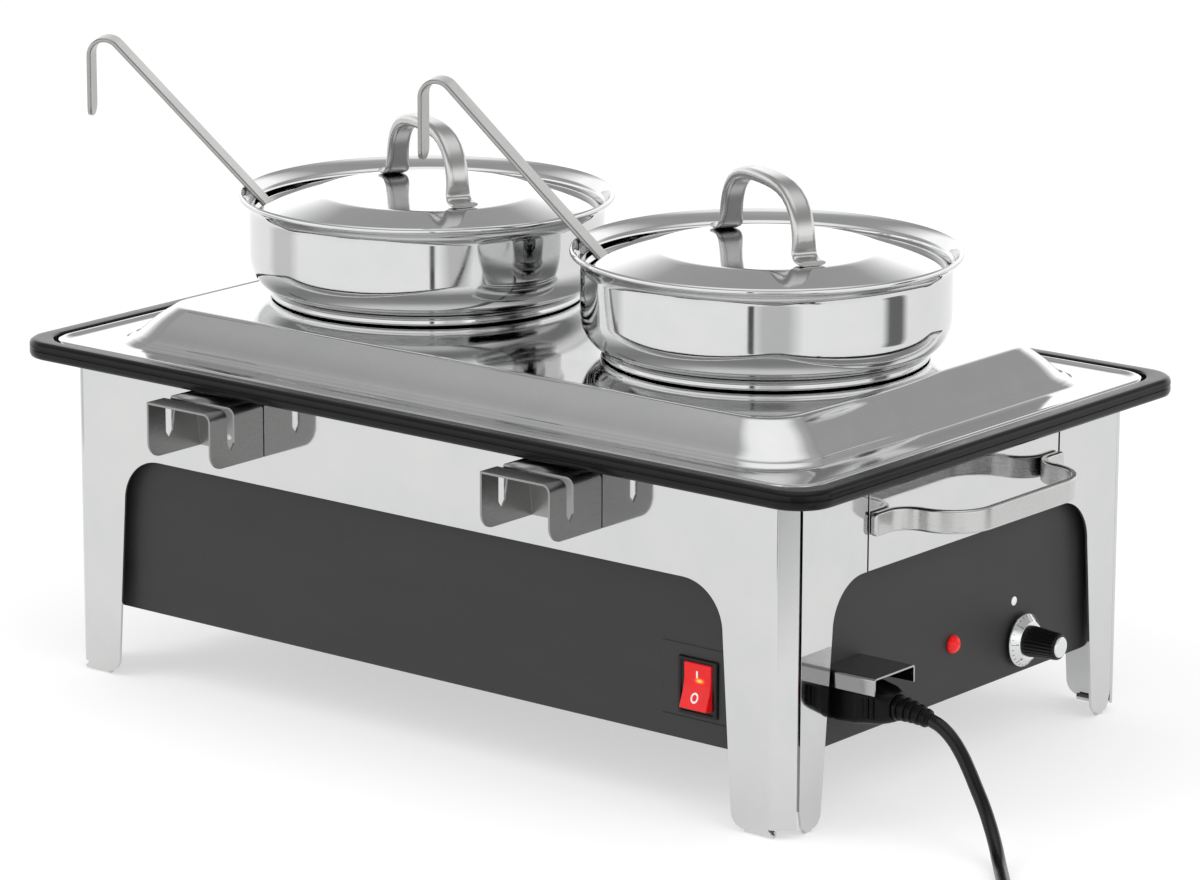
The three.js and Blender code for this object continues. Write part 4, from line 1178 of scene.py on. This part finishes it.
def lid_handle_mesh():
    """A flat strap bent up from one foot and down to the other, with its feet spread out."""
    half = [(56.2, 270.9), (53.4, 270.7), (50.6, 270.9)]
    half += bow(50.4, 276.2, 5.2, -88, -178, 8)
    half += [
        (44.8, 280.5), (44.2, 285), (42.8, 290), (40.2, 295), (36.0, 299.6), (30.2, 303.2),
        (23.0, 305.6), (15.0, 306.8), (7.4, 307.2),
    ]
    line = half + [(0, 307.3)] + [(-x, z) for x, z in reversed(half)]
    sizes = []
    for _, z in line:
        share = smooth((z - 271) / 12)
        sizes.append((1.18 - 0.18 * share, 0.40 + 0.60 * share))
    path = [(x, 0, z) for x, z in line]
    strap = drawn_along(bar_section(12.8, 6.8, 3.1, 8), path, (0, 1, 0), sizes)
    turn_over(strap, LID_TURN)
    return strap


def ladle_lines():
    """Directions along and across the straight handle, its low end, and its hook's centre."""
    along = Vector((math.cos(LADLE_LEAN), math.sin(LADLE_LEAN)))
    inward = Vector((-math.sin(LADLE_LEAN), math.cos(LADLE_LEAN)))
    crossing = Vector((95, 261.2))
    low = crossing - along * ((crossing.y - 127) / along.y)
    top = crossing + along * ((177.5 - crossing.x) / along.x)
    return along, inward, low, top, top - inward * HOOK_RADIUS


def ladle_handle_mesh(turn):
    """A straight bar with a hook at its top, whose tip is rounded."""
    _, _, low, top, centre = ladle_lines()
    tip, rounding = 306.2, 6.2
    end_x, drop = centre.x + HOOK_RADIUS, centre.y - tip - rounding
    line = [tuple(low + (top - low) * step / 24) for step in range(25)]
    line += bow(centre.x, centre.y, HOOK_RADIUS, 136.3, 0, 16)[1:]
    line += [(end_x, centre.y - drop * step / 4) for step in range(1, 5)]
    sizes = [(1, 1)] * len(line)
    for share in (0.3, 0.5, 0.66, 0.78, 0.88, 0.95, 0.985, 1):
        line.append((end_x + 0.4 * share * share, tip + rounding * (1 - share)))
        sizes.append((0.22 + 0.78 * math.sqrt(1 - share * share), 1))
    bar = drawn_along(bar_section(15, 2.5, 1.0), [(x, 0, z) for x, z in line], (0, 1, 0), sizes)
    turn_over(bar, turn)
    return bar


def ladle_bowl_mesh(turn):
    """A shallow round bowl with a thin wall, tipped in line with the handle."""
    along, inward, low, _, _ = ladle_lines()
    mouth, depth, wall = 35.0, 26.0, 1.0
    ball = (mouth * mouth + depth * depth) / (2 * depth)
    half = math.asin(mouth / ball)

    def skin(radius, steps):
        return [
            (radius * math.sin(half * i / 16), ball - depth - radius * math.cos(half * i / 16))
            for i in steps
        ]
    lip = [(mouth + 0.2, 0.6), (mouth - 0.6, 0.8)]
    bowl = turned(skin(ball, range(17)) + lip + skin(ball - wall, range(16, -1, -1)), 72)
    turn_over(bowl, QUARTER - LADLE_LEAN, "Y")
    place = low + along * 7 + inward * (mouth + 1.55)
    move(bowl, place.x, 0, place.y)
    turn_over(bowl, turn)
    return bowl


def make_pots():
    """Both pots, each with its lid, the strap on the lid and a ladle."""
    for side, x in (("left", -POT_X), ("right", POT_X)):
        turn = LADLE_TURN[side]
        for name, bm, body, slot, finish, node, edge in (
            ("soup_pot", turned(POT_PROFILE, 128), "pot", "mirror_pot", "mirror_spun", "pot", 0),
            ("cover", lid_mesh(), "lid", "mirror_lid", "mirror_spun", "lid", 0),
            ("strap", lid_handle_mesh(), "lid", "grip_steel", None, "lid_handle", 0),
            ("ladle_bar", ladle_handle_mesh(turn), "ladle", "ladle_steel", None, "ladle_handle", 0.2),
            ("ladle_cup", ladle_bowl_mesh(turn), "ladle", "ladle_steel", "bowl_steel", "ladle_bowl", 0),
        ):
            move(bm, x)
            piece(
                f"{side}_{name}", bm, f"{body}_{side}", slot, [f"{side}_{node}"], finish=finish,
                edge=edge,
            )


make_sheets()
make_side_handles()
make_rim()
make_pan()
make_housing()
make_inside()
make_holders()
make_switch()
make_dial()
make_lamp()
make_inlet()
make_plate()
make_pots()


# ---------------------------------------------------------------- floor and light

def shade_card(name, turn, half_angle, far, dark, fade):
    """A soft-edged dark card beside the set, seen only in mirror-bright metal. turn is its
    direction about Z, dark the light it takes away, and fade the height of its soft lower edge."""
    bm = bmesh.new()
    across = bm.verts.layers.float_vector.new("grain")
    columns = []
    for step in range(9):
        share = step / 4 - 1
        angle = math.radians(turn + half_angle * share)
        column = []
        for z, edge in ((0.0, 1), (fade, 0), (0.28, 0), (0.36, 1)):
            vert = bm.verts.new((far * math.cos(angle), far * math.sin(angle) + CENTRE_SHIFT * MM, z))
            vert[across] = (share, edge, 0)
            column.append(vert)
        columns.append(column)
    for left, right in zip(columns, columns[1:]):
        for i in range(3):
            bm.faces.new((left[i], right[i], right[i + 1], left[i + 1]))
    shade = Finish(name, (0.02, 0.02, 0.02), 1.0, 0.0, Specular_IOR_Level=0.0)
    reach = shade.length(shade.place(along=True))
    shade.give(Alpha=shade.spread(reach, dark, 0, 0.45, 1))
    card = in_scene(name, as_mesh(name, bm))
    card.data.materials.append(shade.material)
    card.visible_camera = False
    card.visible_shadow = False
    card.visible_diffuse = False


def make_floor():
    bm = bmesh.new()
    bmesh.ops.create_grid(bm, x_segments=1, y_segments=1, size=25)
    floor = in_scene("floor", as_mesh("floor", bm))
    paper = Finish(
        "paper", (0.50, 0.50, 0.50), 0.9, 0.0, Specular_IOR_Level=0.0, Emission_Color=(1, 1, 1, 1),
        Emission_Strength=0.54,
    )
    floor.data.materials.append(paper.material)


def make_sky():
    """A soft sky that is bright low down and overhead, and grey between."""
    world = bpy.data.worlds.new("studio")
    bpy.context.scene.world = world
    world.use_nodes = True
    nodes, links = world.node_tree.nodes, world.node_tree.links
    where = nodes.new("ShaderNodeTexCoord")
    split = nodes.new("ShaderNodeSeparateXYZ")
    links.new(where.outputs["Generated"], split.inputs["Vector"])
    ramp = nodes.new("ShaderNodeValToRGB")
    levels = (
        (0.0, 1.0), (0.30, 1.0), (0.42, 0.60), (0.52, 0.32), (0.66, 0.30), (0.80, 0.40),
        (0.92, 0.85), (1.0, 0.9),
    )
    set_stops(ramp, [(place, (level, level, level)) for place, level in levels])
    links.new(split.outputs["Z"], ramp.inputs["Fac"])
    links.new(ramp.outputs["Color"], nodes["Background"].inputs["Color"])
    nodes["Background"].inputs["Strength"].default_value = 1.45


def make_soft_box(name, spot, size, power):
    """A square light that looks at the unit and leaves no patch in bright metal."""
    light = bpy.data.lights.new(name, "AREA")
    light.shape = "SQUARE"
    light.size = size
    light.energy = power
    lamp = in_scene(name, light)
    lamp.location = spot
    lamp.rotation_euler = (Vector((0, 0, 0.1)) - Vector(spot)).to_track_quat("-Z", "Y").to_euler()
    lamp.visible_glossy = False


make_floor()
shade_card("camera_shade", -38.8, 13, 0.56, 0.40, 0.16)
shade_card("camera_edge", -53.3, 2.2, 0.74, 0.92, 0.02)
shade_card("right_shade", 24.0, 9.0, 0.78, 0.85, 0.02)
shade_card("left_shade", 205.0, 14.0, 0.78, 0.30, 0.02)
make_sky()
make_soft_box("front_box", (-1.6, -2.2, 2.4), 2.2, 34)
make_soft_box("side_box", (2.6, -0.4, 2.0), 2.0, 24)
bpy.context.scene.view_settings.view_transform = "Standard"
